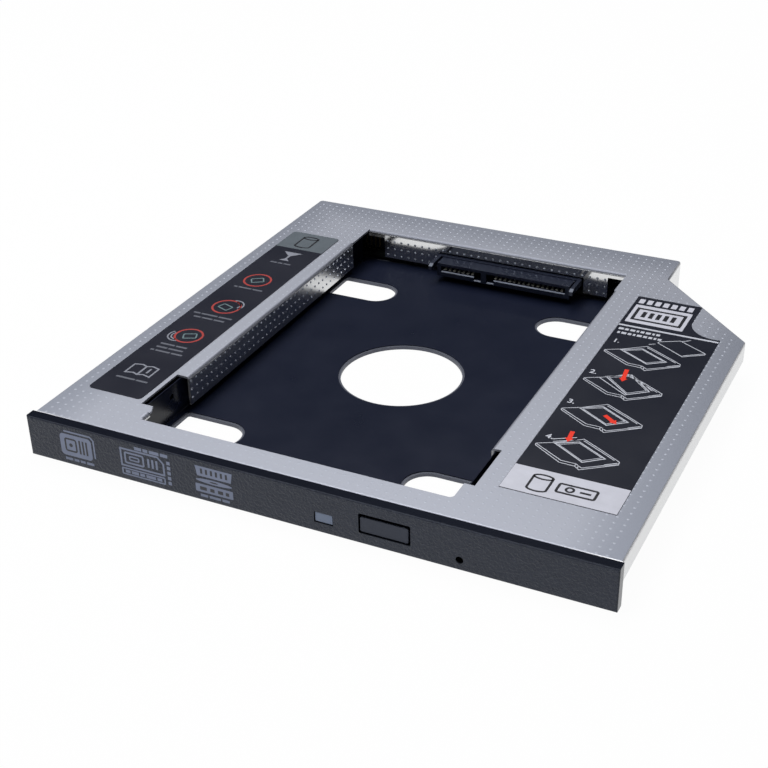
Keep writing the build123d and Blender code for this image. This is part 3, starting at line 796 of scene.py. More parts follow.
def rounded_box(x0: float, y0: float, x1: float, y1: float, radius: float, steps: int = 5) -> list[Point]:
    """Round the corners of a rectangle.

    Args:
        x0: Its left side.
        y0: Its lower side.
        x1: Its right side.
        y1: Its upper side.
        radius: The corners' radius, or 0 for square ones.
        steps: How many edges each rounded corner has.

    Returns:
        The outline's corners.
    """
    if radius <= 0:
        return [(x0, y0), (x1, y0), (x1, y1), (x0, y1)]
    centres = [
        (x1 - radius, y1 - radius),
        (x0 + radius, y1 - radius),
        (x0 + radius, y0 + radius),
        (x1 - radius, y0 + radius),
    ]
    points = []
    for quarter, (cx, cy) in enumerate(centres):
        for step in range(steps + 1):
            turn = math.pi / 2 * (quarter + step / steps)
            points.append((cx + radius * math.cos(turn), cy + radius * math.sin(turn)))
    return points


def finish_piece(name: str, shape: bmesh.types.BMesh, finish: Finish) -> bpy.types.Object:
    """Turn a shape into an object that rides on the caddy.

    Args:
        name: The object's name.
        shape: Its mesh under construction, which is freed.
        finish: Its finish.

    Returns:
        The new object, at the origin.
    """
    mesh = bpy.data.meshes.new(name)
    shape.to_mesh(mesh)
    shape.free()
    return register_piece(name, mesh, finish)


def register_piece(name: str, mesh: bpy.types.Mesh, finish: Finish) -> bpy.types.Object:
    """Link a mesh as a piece of the caddy and report it.

    Args:
        name: The object's name.
        mesh: Its mesh, with its place in it.
        finish: Its finish.

    Returns:
        The new object, at the origin.
    """
    piece = bpy.data.objects.new(name, mesh)
    bpy.context.scene.collection.objects.link(piece)
    mesh.materials.clear()
    mesh.materials.append(finish.material())
    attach(piece, CADDY)
    LOG.info("%s: %d faces, %s", name, len(mesh.polygons), finish.name)
    return piece


def dress_node(node: str, finish: Finish) -> None:
    """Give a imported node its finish.

    Args:
        node: The node's name.
        finish: Its finish.
    """
    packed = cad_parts[node]
    for place in packed.material_slots:
        place.material = finish.material()
    LOG.info("%s: %s", node, finish.name)


@dataclass
class StampedDots:
    """The pattern of small round domes raised in the sheet frame, on the top and down the bay's flanges."""

    datum: Datum
    pitch_x: float = 2.01
    pitch_y: float = 2.03
    first_x: float = 0.2
    first_y: float = 0.7
    flat_dome: Point = (0.3, 0.08)
    wall_dome: Point = (0.33, 0.24)
    shallow: float = 0.55
    edge_margin: float = 1.25
    hole_margin: float = 0.5
    top: float = 9.5
    width: float = 128.0
    depth: float = 127.0
    deep_width: float = 103.0
    wing_length: float = 90.1
    step_start: float = 115.4
    slant_margin: float = 1.625
    cone_sides: int = 10
    cone_rings: int = 3
    bay: Box = (20.9, 6.1, 93.6, 114.3)
    notches: tuple[Box, ...] = ((18.7, 11.6, 21.7, 25.4), (92.8, 11.6, 95.0, 25.4))
    labels: tuple[Box, ...] = (
        (4.0, 12.8, 17.6, 104.5),
        (99.2, 13.2, 122.6, 88.4),
        (99.2, 88.4, 114.6, 103.2),
    )
    flange_x: Point = (21.7, 92.8)
    flange_rows: tuple[float, ...] = (8.25, 6.2, 4.13)
    flange_y: Point = (26.05, 103.2)
    rear_y: float = 113.5
    rear_rows: tuple[float, ...] = (7.25, 5.15, 3.3)
    rear_x: Point = (27.2, 87.6)
    rear_window: tuple[float, float, float] = (42.0, 82.2, 7.2)

    def on_sheet(self, x: float, y: float) -> bool:
        """Tell whether a dome fits on the flat of the top sheet.

        Args:
            x: The dome's place across the caddy.
            y: Its place along the caddy.

        Returns:
            Whether it fits.
        """
        margin, gap = self.edge_margin, self.hole_margin
        if not (margin < x < self.width - margin and y < self.depth - margin):
            return False
        if y > self.wing_length - margin and x > self.deep_width - margin:
            slant = (self.step_start - self.wing_length) / (self.width - self.deep_width)
            if y > min(self.step_start - (x - self.deep_width) * slant - self.slant_margin, self.step_start):
                return False
        holes = (self.bay, *self.notches)
        if any(x0 - gap < x < x1 + gap and y0 - gap < y < y1 + gap for x0, y0, x1, y1 in holes):
            return False
        return not any(x0 < x < x1 and y0 < y < y1 for x0, y0, x1, y1 in self.labels)

    def flat_places(self) -> list[Dome]:
        """List the domes on the top.

        Returns:
            For each its place in metres, the way it looks and its share of the height.
        """
        found = []
        for i in range(1, int(self.width / self.pitch_x)):
            for j in range(int(self.depth / self.pitch_y) + 1):
                x, y = self.first_x + i * self.pitch_x, self.first_y + j * self.pitch_y
                if self.on_sheet(x, y):
                    share = self.shallow + (2 - 2 * self.shallow) * y / self.depth
                    found.append((self.datum.point(x, y, self.top), Vector(Side.TOP.value), share))
        return found

    def wall_places(self) -> list[Dome]:
        """List the domes on the bay's flanges.

        Returns:
            For each its place in metres, the way it looks and its share of the height.
        """
        found = []
        for x, side in zip(self.flange_x, (Side.LEFT_FLANGE, Side.RIGHT_FLANGE)):
            for z in self.flange_rows:
                y = self.flange_y[0]
                while y < self.flange_y[1]:
                    found.append((self.datum.point(x, y, z), Vector(side.value), 1.0))
                    y += self.pitch_y
        window_start, window_end, window_top = self.rear_window
        for z in self.rear_rows:
            x = self.rear_x[0]
            while x < self.rear_x[1]:
                if z > window_top or not window_start < x < window_end:
                    found.append((self.datum.point(x, self.rear_y, z), Vector(Side.FRONT.value), 1.0))
                x += self.pitch_x
        return found

    def tree(self) -> Tree:
        """Build the geometry tree that sets one low dome at each point, turned to face outwards.

        Returns:
            The tree.
        """
        tree = bpy.data.node_groups.new("stamped_dots", "GeometryNodeTree")
        for name, way, kind in (
            ("Points", "INPUT", "NodeSocketGeometry"),
            ("Dome Radius", "INPUT", "NodeSocketFloat"),
            ("Dome Height", "INPUT", "NodeSocketFloat"),
            ("Finish", "INPUT", "NodeSocketMaterial"),
            ("Geometry", "OUTPUT", "NodeSocketGeometry"),
        ):
            tree.interface.new_socket(name, in_out=way, socket_type=kind)
        given = add_node(tree, "NodeGroupInput").outputs
        cone = add_node(
            tree,
            "GeometryNodeMeshCone",
            {
                "Vertices": self.cone_sides,
                "Side Segments": self.cone_rings,
                "Radius Top": 0.0,
                "Radius Bottom": 1.0,
                "Depth": 1.0,
            },
            fill_type="NONE",
        ).outputs["Mesh"]
        place = add_node(tree, "GeometryNodeInputPosition").outputs[0]
        parts = add_node(tree, "ShaderNodeSeparateXYZ", {0: place}).outputs
        plan = {"X": parts["X"], "Y": parts["Y"]}
        level = add_node(tree, "ShaderNodeCombineXYZ", {**plan, "Z": 0.0}).outputs[0]
        reach = add_node(tree, "ShaderNodeVectorMath", {0: level}, operation="LENGTH").outputs["Value"]
        swell = add_node(
            tree,
            "ShaderNodeMapRange",
            {"Value": reach, "To Min": 1.0, "To Max": 0.0},
            interpolation_type="SMOOTHSTEP",
        ).outputs["Result"]
        profile = add_node(tree, "ShaderNodeCombineXYZ", {**plan, "Z": swell}).outputs[0]
        dome = add_node(tree, "GeometryNodeSetPosition", {"Geometry": cone, "Position": profile}).outputs[0]
        scale = add_node(
            tree,
            "ShaderNodeCombineXYZ",
            {"X": given["Dome Radius"], "Y": given["Dome Radius"], "Z": given["Dome Height"]},
        ).outputs[0]
        low = add_node(tree, "GeometryNodeTransform", {"Geometry": dome, "Scale": scale}).outputs[0]
        share, facing = (
            add_node(
                tree, "GeometryNodeInputNamedAttribute", {"Name": name}, data_type=kind
            ).outputs["Attribute"]
            for name, kind in (("share", "FLOAT"), ("facing", "FLOAT_VECTOR"))
        )
        stretch = add_node(tree, "ShaderNodeCombineXYZ", {"X": 1.0, "Y": 1.0, "Z": share}).outputs[0]
        turned = add_node(tree, "FunctionNodeAlignRotationToVector", {"Vector": facing}, axis="Z").outputs[0]
        shape = add_node(
            tree,
            "GeometryNodeInstanceOnPoints",
            {"Points": given["Points"], "Instance": low, "Rotation": turned, "Scale": stretch},
        ).outputs["Instances"]
        for kind in ("GeometryNodeRealizeInstances", "GeometryNodeSetShadeSmooth"):
            shape = add_node(tree, kind, {"Geometry": shape}).outputs["Geometry"]
        dressed = {"Geometry": shape, "Material": given["Finish"]}
        shape = add_node(tree, "GeometryNodeSetMaterial", dressed).outputs["Geometry"]
        add_node(tree, "NodeGroupOutput", {"Geometry": shape})
        return tree

    def build(self, flat: Finish, wall: Finish) -> None:
        """Stamp the domes.

        Args:
            flat: The finish of those on the top.
            wall: The finish of those on the flanges.
        """
        tree = self.tree()
        self.stamp("stamped_dots", tree, self.flat_places(), self.flat_dome, flat)
        self.stamp("stamped_wall_dots", tree, self.wall_places(), self.wall_dome, wall)

    def stamp(
        self,
        name: str,
        tree: Tree,
        places: list[Dome],
        dome: Point,
        finish: Finish,
    ) -> bpy.types.Object:
        """Build one group of domes as a single mesh that rides on the caddy.

        Args:
            name: The piece's name.
            tree: The geometry tree that sets the domes.
            places: The domes.
            dome: A dome's radius and height in millimetres.
            finish: Their finish.

        Returns:
            The new piece.
        """
        mesh = bpy.data.meshes.new("dot_places")
        mesh.from_pydata([place for place, _, _ in places], [], [])
        facing = mesh.attributes.new("facing", "FLOAT_VECTOR", "POINT")
        facing.data.foreach_set("vector", [value for _, side, _ in places for value in side])
        share = mesh.attributes.new("share", "FLOAT", "POINT")
        share.data.foreach_set("value", [value for _, _, value in places])
        seeds = bpy.data.objects.new("dot_places", mesh)
        bpy.context.scene.collection.objects.link(seeds)
        modifier = seeds.modifiers.new("stamping", "NODES")
        modifier.node_group = tree
        values = {"Dome Radius": dome[0] * MM, "Dome Height": dome[1] * MM, "Finish": finish.material()}
        for item in modifier.node_group.interface.items_tree:
            if item.in_out == "INPUT" and item.name in values:
                modifier[item.identifier] = values[item.name]
        bpy.context.view_layer.update()
        whole = bpy.data.meshes.new_from_object(seeds.evaluated_get(bpy.context.evaluated_depsgraph_get()))
        bpy.data.objects.remove(seeds)
        return register_piece(name, whole, finish)


@dataclass
class SheetBody:
    """The folded frame, the tray and the lining film between them."""

    datum: Datum
    aluminium: StampedAluminium = StampedAluminium()
    # Painted highlight: the domes on the top get a lighter grey than the sheet and no edge shade, so they
    # show as light specks.
    dome_highlight: StampedAluminium = StampedAluminium(
        "dome_painted_highlight_aluminium", roughness=0.7, satin_colour="b4b8c2", edge_shade_colour="b4b8c2"
    )
    stamped: StampedAluminium = StampedAluminium(
        "stamped_dome_aluminium", "dde3f0", wall_roughness=0.32, rear_roughness=0.32, wall_metallic=1.0
    )
    steel: CoatedSteel = CoatedSteel()
    film: PolyesterFilm = PolyesterFilm()

    def build(self) -> None:
        """Dress the sheets and stamp the frame's dots."""
        dress_node("top_frame", self.aluminium)
        dress_node("bottom_tray", self.steel)
        dress_node("bay_liner", self.film)
        StampedDots(self.datum).build(self.dome_highlight, self.stamped)


@dataclass
class FrontPanel:
    """The moulded bezel with its button, window and three small printed marks."""

    datum: Datum
    face_depth: float = 2.46
    plastic: SparkErodedPlastic = SparkErodedPlastic()
    button: SparkErodedPlastic = SparkErodedPlastic("spark_textured_button_abs", "22252f")
    window: WindowPlastic = WindowPlastic()
    marks: Ink = BEZEL_INK
    ground: Ink = BEZEL_GROUND_INK
    line: float = 0.42
    edge_line: float = 0.378
    thin_line: float = 0.336

    def build(self) -> None:
        """Dress the front's pieces and print its marks."""
        dress_node("bezel", self.plastic)
        dress_node("eject_button", self.button)
        dress_node("indicator_window", self.window)
        face = PrintFace(self.datum.point(0, -self.face_depth, 0), Vector((1, 0, 0)), Vector((0, 0, 1)))
        layer = InkLayer("bezel_marks", face, self.marks, "bezel_plastic")
        cuts = InkLayer("bezel_mark_cuts", face, self.ground, "bezel_plastic", level=INK_FILM)
        self.drive_mark(layer, cuts)
        self.caddy_mark(layer)
        self.plug_mark(layer, cuts)
        layer.build()
        cuts.build()

    def drive_mark(self, ink: InkLayer, cuts: InkLayer) -> None:
        """Draw a filled plate with a small drive and its pins cut out, and the edge of one behind it.

        Args:
            ink: The layer that takes what is printed.
            cuts: The layer that takes what is cut out of it.
        """
        ink.box(7.6, 2.3, 15.5, 7.5, 0.9)
        ink.line([(8.8, 8.15), (15.4, 8.15), (16.15, 7.4), (16.15, 3.1)], self.edge_line)
        cuts.line(rounded_box(8.9, 3.5, 11.6, 6.4, 0.4, 3), self.line, closed=True)
        cuts.disc((10.25, 4.95), 0.45)
        cuts.bars(3, (0.85, 0.0), (12.3, 3.3, 12.75, 6.6))
        ink.caption(8.4, 1.45, 7.2, 0.6, (3, 2, 2, 3))

    def caddy_mark(self, ink: InkLayer) -> None:
        """Draw the caddy from above with its open bay, in double lines, with rows of blocks round it.

        Args:
            ink: The layer that takes what is printed.
        """
        ink.caption(26.4, 8.35, 8.0, 0.75, (3, 2, 4, 3))
        ink.line([(22.9, 3.6), (33.2, 3.6), (33.2, 6.3), (31.9, 7.6), (22.9, 7.6)], self.line, closed=True)
        ink.line(rounded_box(23.9, 4.4, 28.3, 6.8, 0.3), self.line, closed=True)
        ink.line(rounded_box(25.0, 5.2, 27.2, 6.0, 0.2), self.thin_line, closed=True)
        ink.bars(3, (1.0, 0.0), (29.3, 4.5, 29.8, 6.6))
        ink.line(rounded_box(22.9, 1.5, 33.2, 2.9, 0.2), self.thin_line, closed=True)
        ink.caption(23.6, 2.2, 8.9, 0.7, (2, 3, 2, 4, 2))
        ink.bars(5, (0.0, 1.2), (34.0, 1.6, 34.8, 2.4))

    def plug_mark(self, ink: InkLayer, cuts: InkLayer) -> None:
        """Draw the drive's plug face with its contacts cut out, over a thin bar and one with cut blocks.

        Args:
            ink: The layer that takes what is printed.
            cuts: The layer that takes what is cut out of it.
        """
        ink.area([(41.2, 5.9), (49.0, 5.9), (49.4, 8.2), (40.8, 8.2)])
        cuts.bars(6, (1.15, 0.0), (42.0, 6.5, 42.5, 7.7))
        ink.area(circle((45.0, 4.95), 4.2, 0.5, 28))
        cuts.area(circle((45.0, 4.95), 1.0, 0.16, 16))
        ink.box(40.6, 2.1, 49.3, 4.0, 0.2)
        for left, right in ((41.6, 43.2), (44.0, 45.0), (45.8, 47.0), (47.6, 48.4)):
            cuts.box(left, 2.6, right, 3.4)
        ink.caption(41.6, 1.3, 6.8, 0.6, (2, 3, 2))


@dataclass
class Connectors:
    """The drive and host connectors with their contacts, on the board between them."""

    polymer: ConnectorPolymer = ConnectorPolymer()
    gold: GoldPlate = GoldPlate()
    # Painted shade: the host connector's contacts sit deep in the dark rear corner and get a near-black
    # gold.
    shaded_host_gold: GoldPlate = GoldPlate("host_gold_plate_painted_shade", "4a4230", roughness=Sheen.MATT.value)
    board: CircuitBoard = CircuitBoard()
    ceramic: FiredCeramic = FiredCeramic()

    def build(self) -> None:
        """Dress the connectors, the board and its chips."""
        for finish, nodes in (
            (self.polymer, ("drive_connector", "host_connector")),
            (self.gold, ("signal_contacts", "power_contacts")),
            (self.shaded_host_gold, ("host_signal_contacts", "host_power_contacts")),
            (self.board, ("adapter_board",)),
            (self.ceramic, ("board_capacitors",)),
        ):
            for node in nodes:
                dress_node(node, finish)


@dataclass
class Fasteners:
    """Screws with a black zinc coat, and plain zinc nuts."""

    black: ZincPlate = ZincPlate("black_zinc_plated_steel", "3a3b40", roughness=0.38)
    clear: ZincPlate = ZincPlate()

    def build(self) -> None:
        """Dress the screws and nuts."""
        for node in ("board_screws", "frame_screws", "bezel_screws"):
            dress_node(node, self.black)
        dress_node("rear_nuts", self.clear)


@dataclass
class Label:
    """A printed film that lies on the sheet frame."""

    datum: Datum
    node: str
    top: float = 9.6

    def layer(self, name: str, ink: Ink, level: float = 0.0) -> InkLayer:
        """Return an empty layer of ink on this label."""
        face = PrintFace(self.datum.point(0, 0, self.top), Vector((1, 0, 0)), Vector((0, 1, 0)))
        return InkLayer(f"{self.node}_{name}", face, ink, self.node + "_film", level)


@dataclass
class LeftLabel(Label):
    """The handling label: a grey header with a drive sign, then a column of small signs with captions."""

    node: str = "left_label"
    left: float = 4.0
    right: float = 17.6
    header_start: float = 94.5
    rear: float = 104.5
    corner: float = 1.0
    inset: float = 0.05
    arc_line: float = 0.35
    booklet_line: float = 0.42
    booklet_height: float = 3.9
    ring_line: float = 0.5
    plate_line: float = 0.34
    caption_height: float = 0.62
    film: LabelFilm = LabelFilm()

    def build(self) -> None:
        """Dress the film and print it."""
        dress_node(self.node, self.film)
        self.header()
        self.signs()
        self.captions()

    def header(self) -> None:
        """Print the grey header and the upright drum on it."""
        start, left, right = self.header_start, self.left + self.inset, self.right - self.inset
        below = start - 2 * self.corner
        whole = rounded_box(left, below, right, self.rear - self.inset, self.corner)
        rounded = [(x, max(y, start)) for x, y in whole if y > below + self.corner / 2]
        ground = self.layer("header", HEADER_INK)
        ground.area([*rounded, (left, start), (right, start)])
        ground.build()
        drum = self.layer("drum", DARK_INK, level=INK_FILM)
        draw_drum(drum, (10.6, 99.2), Drum(2.1, 2.6, 0.75, 0.5))
        drum.build()

    def signs(self) -> None:
        """Print the screw, the three ringed signs and the booklet."""
        grey = self.layer("signs", SIGN_INK)
        grey.area([(8.0, 92.2), (13.2, 92.2), (11.1, 90.1), (10.1, 90.1)])
        grey.box(10.3, 88.2, 10.9, 90.1)
        grey.area([(10.3, 88.2), (10.9, 88.2), (12.0, 87.0), (9.2, 87.0)])
        for radius, start, end in ((2.5, -40, 110), (1.7, -30, 100)):
            grey.arc((12.3, 59.6), radius, start, end, self.arc_line)
            grey.arc((8.9, 40.9), radius, 140, 290, self.arc_line)
        lower = [(7.5, 21.6), (9.3, 22.1), (10.65, 21.6), (12.0, 22.1), (13.8, 21.6)]
        upper = [(x, y + self.booklet_height) for x, y in reversed(lower)]
        grey.line(lower + upper, self.booklet_line, closed=True)
        grey.line([(10.65, 21.8), (10.65, 25.3)], 0.5)
        grey.box(12.0, 22.9, 12.5, 24.9)
        grey.build()
        red = self.layer("rings", DULL_RED_INK)
        for centre, radius in (((10.5, 74.0), 3.35), ((11.2, 58.2), 3.4), ((11.1, 41.8), 3.25)):
            red.ring(centre, radius, self.ring_line)
        red.build()
        teal = self.layer("plates", TEAL_INK)
        for centre, turn in (((10.5, 74.0), 32.0), ((11.0, 58.0), -20.0), ((11.4, 41.8), 24.0)):
            rotation = Matrix.Rotation(math.radians(turn), 2)
            corners = [rotation @ Vector(corner) for corner in rounded_box(-1.5, -1.05, 1.5, 1.05, 0.25, 2)]
            teal.line([(centre[0] + c.x, centre[1] + c.y) for c in corners], self.plate_line, closed=True)
        teal.build()

    def captions(self) -> None:
        """Print the rows of small print as rows of blocks."""
        grey = self.layer("captions", CAPTION_INK)
        rows = (
            (7.7, 85.2, 5.8, (3, 2, 3)),
            (6.8, 69.0, 7.9, (1, 4, 3)),
            (5.5, 52.8, 10.4, (2, 5, 4)),
            (6.6, 51.0, 8.3, (2, 3, 3)),
            (7.1, 36.3, 7.0, (4, 3)),
            (7.1, 34.6, 7.0, (3, 4)),
            (6.6, 32.9, 8.4, (1, 4, 3)),
            (6.8, 19.4, 8.1, (5, 3)),
        )
        for x, y, length, blocks in rows:
            grey.caption(x, y, length, self.caption_height, blocks)
        grey.build()


@dataclass(frozen=True)
class Drum:
    """The sizes of a drawn drum: half its width, half its sides' height, half its lid's, and its line."""

    half_width: float
    half_height: float
    dip: float
    line: float


def draw_drum(ink: InkLayer, centre: Point, drum: Drum) -> None:
    """Draw an upright drum: its round lid, its sides and the lower edge.

    Args:
        ink: The layer that takes the lines.
        centre: The drum's middle.
        drum: Its sizes.
    """
    x, y = centre
    wide, high = drum.half_width, drum.half_height
    ink.line(circle((x, y + high), wide, drum.dip, 28), drum.line, closed=True)
    turns = [math.pi + math.pi * i / ARC_STEPS for i in range(ARC_STEPS + 1)]
    lower = [(x + wide * math.cos(t), y - high + drum.dip * math.sin(t)) for t in turns]
    ink.line([(x - wide, y + high), *lower, (x + wide, y + high)], drum.line)


@dataclass
class FittingStep:
    """One small picture of how the drive goes into the caddy."""

    number: int
    shift: float
    numeral_at: Point
    plate: tuple[Point, ...]
    arrow: tuple[Point, Point] | None = None
    extras: tuple[tuple[Point, ...], ...] = ()
    tray_line: float = 0.2
    front_line: float = 0.64
    plate_line: float = 0.27
    inner_line: float = 0.16
    inner_share: float = 0.86
    extra_line: float = 0.22
    numeral_height: float = 1.7
    shaft: float = 0.95
    head: float = 1.8
    neck_share: float = 0.8

    def draw_tray(self, ink: InkLayer) -> None:
        """Draw the caddy from a corner: its outline, its side, the bay's edge and its front.

        Args:
            ink: The layer that takes the lines.
        """
        for points, width in (
            (((100.2, 45.7), (103.9, 47.6), (108.5, 51.0), (113.2, 48.3), (117.5, 45.7)), self.tray_line),
            (((108.6, 50.4), (113.0, 47.9), (116.4, 45.9)), self.tray_line),
            (((100.2, 45.7), (106.9, 41.7), (110.0, 41.7), (111.4, 40.7), (117.5, 45.0)), self.tray_line),
            (((100.2, 45.7), (100.4, 45.0), (106.8, 40.9), (110.0, 40.8), (111.2, 39.9), (117.6, 44.6),
              (117.5, 45.7)), self.tray_line),
            (((110.0, 41.7), (110.0, 40.8)), self.tray_line),
            (((110.7, 41.3), (110.7, 40.3)), self.tray_line),
            (((115.2, 43.4), (117.4, 45.0)), self.front_line),
        ):
            ink.line([(x, y + self.shift) for x, y in points], width)

    def draw(self, ink: InkLayer, accent: InkLayer) -> None:
        """Draw the step's numeral, tray, drive and arrow.

        Args:
            ink: The layer that takes the lines and the numeral.
            accent: The layer that takes the arrow.
        """
        self.draw_tray(ink)
        ink.line(self.plate, self.plate_line, closed=True)
        middle = sum((Vector(p) for p in self.plate), Vector((0.0, 0.0))) / len(self.plate)
        inner = [tuple(middle + (Vector(p) - middle) * self.inner_share) for p in self.plate]
        ink.line(inner, self.inner_line, closed=True)
        for points in self.extras:
            ink.line(points, self.extra_line)
        ink.numeral(self.number, *self.numeral_at, self.numeral_height)
        if self.arrow:
            self.draw_arrow(accent)

    def draw_arrow(self, ink: InkLayer) -> None:
        """Draw a short thick arrow.

        Args:
            ink: The layer that takes it.
        """
        tail, tip = Vector(self.arrow[0]), Vector(self.arrow[1])
        along = (tip - tail).normalized()
        aside = Vector((-along.y, along.x))
        neck = tip - along * self.head * self.neck_share
        half = [(tail, self.shaft / 2), (neck, self.shaft / 2), (neck, self.head / 2)]
        left = [tuple(place + aside * reach) for place, reach in half]
        right = [tuple(place - aside * reach) for place, reach in reversed(half)]
        ink.area([*left, tuple(tip), *right])


@dataclass
class RightLabel(Label):
    """The fitting label: a pale plug sign, four step pictures and a pale panel with a drive sign."""

    node: str = "right_label"
    left: float = 99.2
    right: float = 122.6
    front: float = 13.2
    panel_end: float = 22.0
    rule_y: float = 87.2
    rule_height: float = 0.7
    rule_inset: float = 0.1
    inset: float = 0.05
    print_height: float = 0.95
    film: LabelFilm = LabelFilm("laminated_fitting_film", "171a27")
    steps: tuple[FittingStep, ...] = (
        FittingStep(
            1,
            28.2,
            (100.5, 78.3),
            ((103.6, 75.3), (107.8, 77.6), (114.4, 73.7), (110.7, 71.1)),
            extras=(
                ((110.2, 82.3), (114.6, 84.6), (121.2, 80.9), (116.9, 78.0)),
                ((110.2, 82.3), (110.2, 81.7), (116.9, 77.5), (121.2, 80.3), (121.2, 80.9)),
                ((114.9, 84.5), (116.6, 85.8)),
                ((108.5, 80.2), (109.8, 81.0)),
            ),
        ),
        FittingStep(
            2,
            14.1,
            (100.4, 62.5),
            ((104.4, 62.3), (109.3, 65.1), (114.8, 59.6), (110.8, 56.5)),
            arrow=((107.6, 67.0), (108.2, 61.5)),
            extras=(((103.3, 61.2), (110.7, 56.1)), ((109.6, 64.9), (115.3, 60.1))),
        ),
        FittingStep(
            3,
            0.0,
            (100.3, 48.4),
            ((103.6, 47.3), (107.9, 49.7), (114.5, 45.7), (110.8, 42.8)),
            arrow=((109.3, 46.5), (112.6, 44.0)),
        ),
        FittingStep(
            4,
            -15.1,
            (101.0, 33.4),
            ((103.7, 32.1), (108.0, 34.5), (114.6, 30.6), (110.9, 27.6)),
            arrow=((105.4, 37.8), (105.8, 33.6)),
            extras=(((102.6, 33.4), (107.0, 35.9)), ((103.1, 32.6), (107.4, 35.0))),
        ),
    )

    def build(self) -> None:
        """Dress the film and print it."""
        dress_node(self.node, self.film)
        self.plug_sign()
        lines = self.layer("steps", LIGHT_INK)
        arrows = self.layer("arrows", RED_INK, level=INK_FILM)
        for step in self.steps:
            step.draw(lines, arrows)
        half = self.rule_height / 2
        start, end = self.left + self.rule_inset, self.right - self.rule_inset
        lines.box(start, self.rule_y - half, end, self.rule_y + half)
        lines.caption(99.9, 85.3, 9.7, self.print_height, (4, 3, 4, 2, 3, 4, 2, 3))
        lines.caption(100.2, 83.3, 10.3, self.print_height, (2, 4, 3, 2, 4, 3, 3, 2, 3))
        lines.build()
        arrows.build()
        self.drive_panel()

    def plug_sign(self) -> None:
        """Print the pale square with a plug face on it, and the row of blocks above."""
        pale = self.layer("plug_field", PANEL_INK)
        pale.box(100.0, 89.2, 113.6, 98.7, 0.3)
        pale.bars(7, (1.96, 0.0), (100.1, 99.6, 101.4, 101.9), 0.15)
        pale.build()
        dark = self.layer("plug_sign", DARK_INK, level=INK_FILM)
        dark.line(rounded_box(101.2, 91.0, 112.4, 96.9, 0.0), 0.75, closed=True)
        dark.bars(5, (1.75, 0.0), (102.7, 92.6, 103.7, 95.5))
        dark.build()

    def drive_panel(self) -> None:
        """Print the pale panel at the front with a drum and a flat drive on it."""
        pale = self.layer("drive_field", PANEL_INK)
        left, right, front = self.left + self.inset, self.right - self.inset, self.front + self.inset
        pale.box(left, front, right, self.panel_end, 0.15)
        pale.build()
        dark = self.layer("drive_sign", DARK_INK, level=INK_FILM)
        draw_drum(dark, (106.0, 17.4), Drum(1.95, 2.15, 0.75, 0.5))
        dark.line(rounded_box(109.6, 15.9, 117.2, 18.9, 0.35, 2), 0.55, closed=True)
        dark.ring((112.0, 17.4), 0.75, 0.5, 20)
        dark.box(114.0, 17.1, 116.2, 17.7)
        dark.build()


@dataclass(frozen=True)
class SoftBox:
    """A soft box: its name, its place and size in metres and its power in watts. It faces the caddy."""

    name: str
    place: tuple[float, float, float]
    size: Point
    power: float


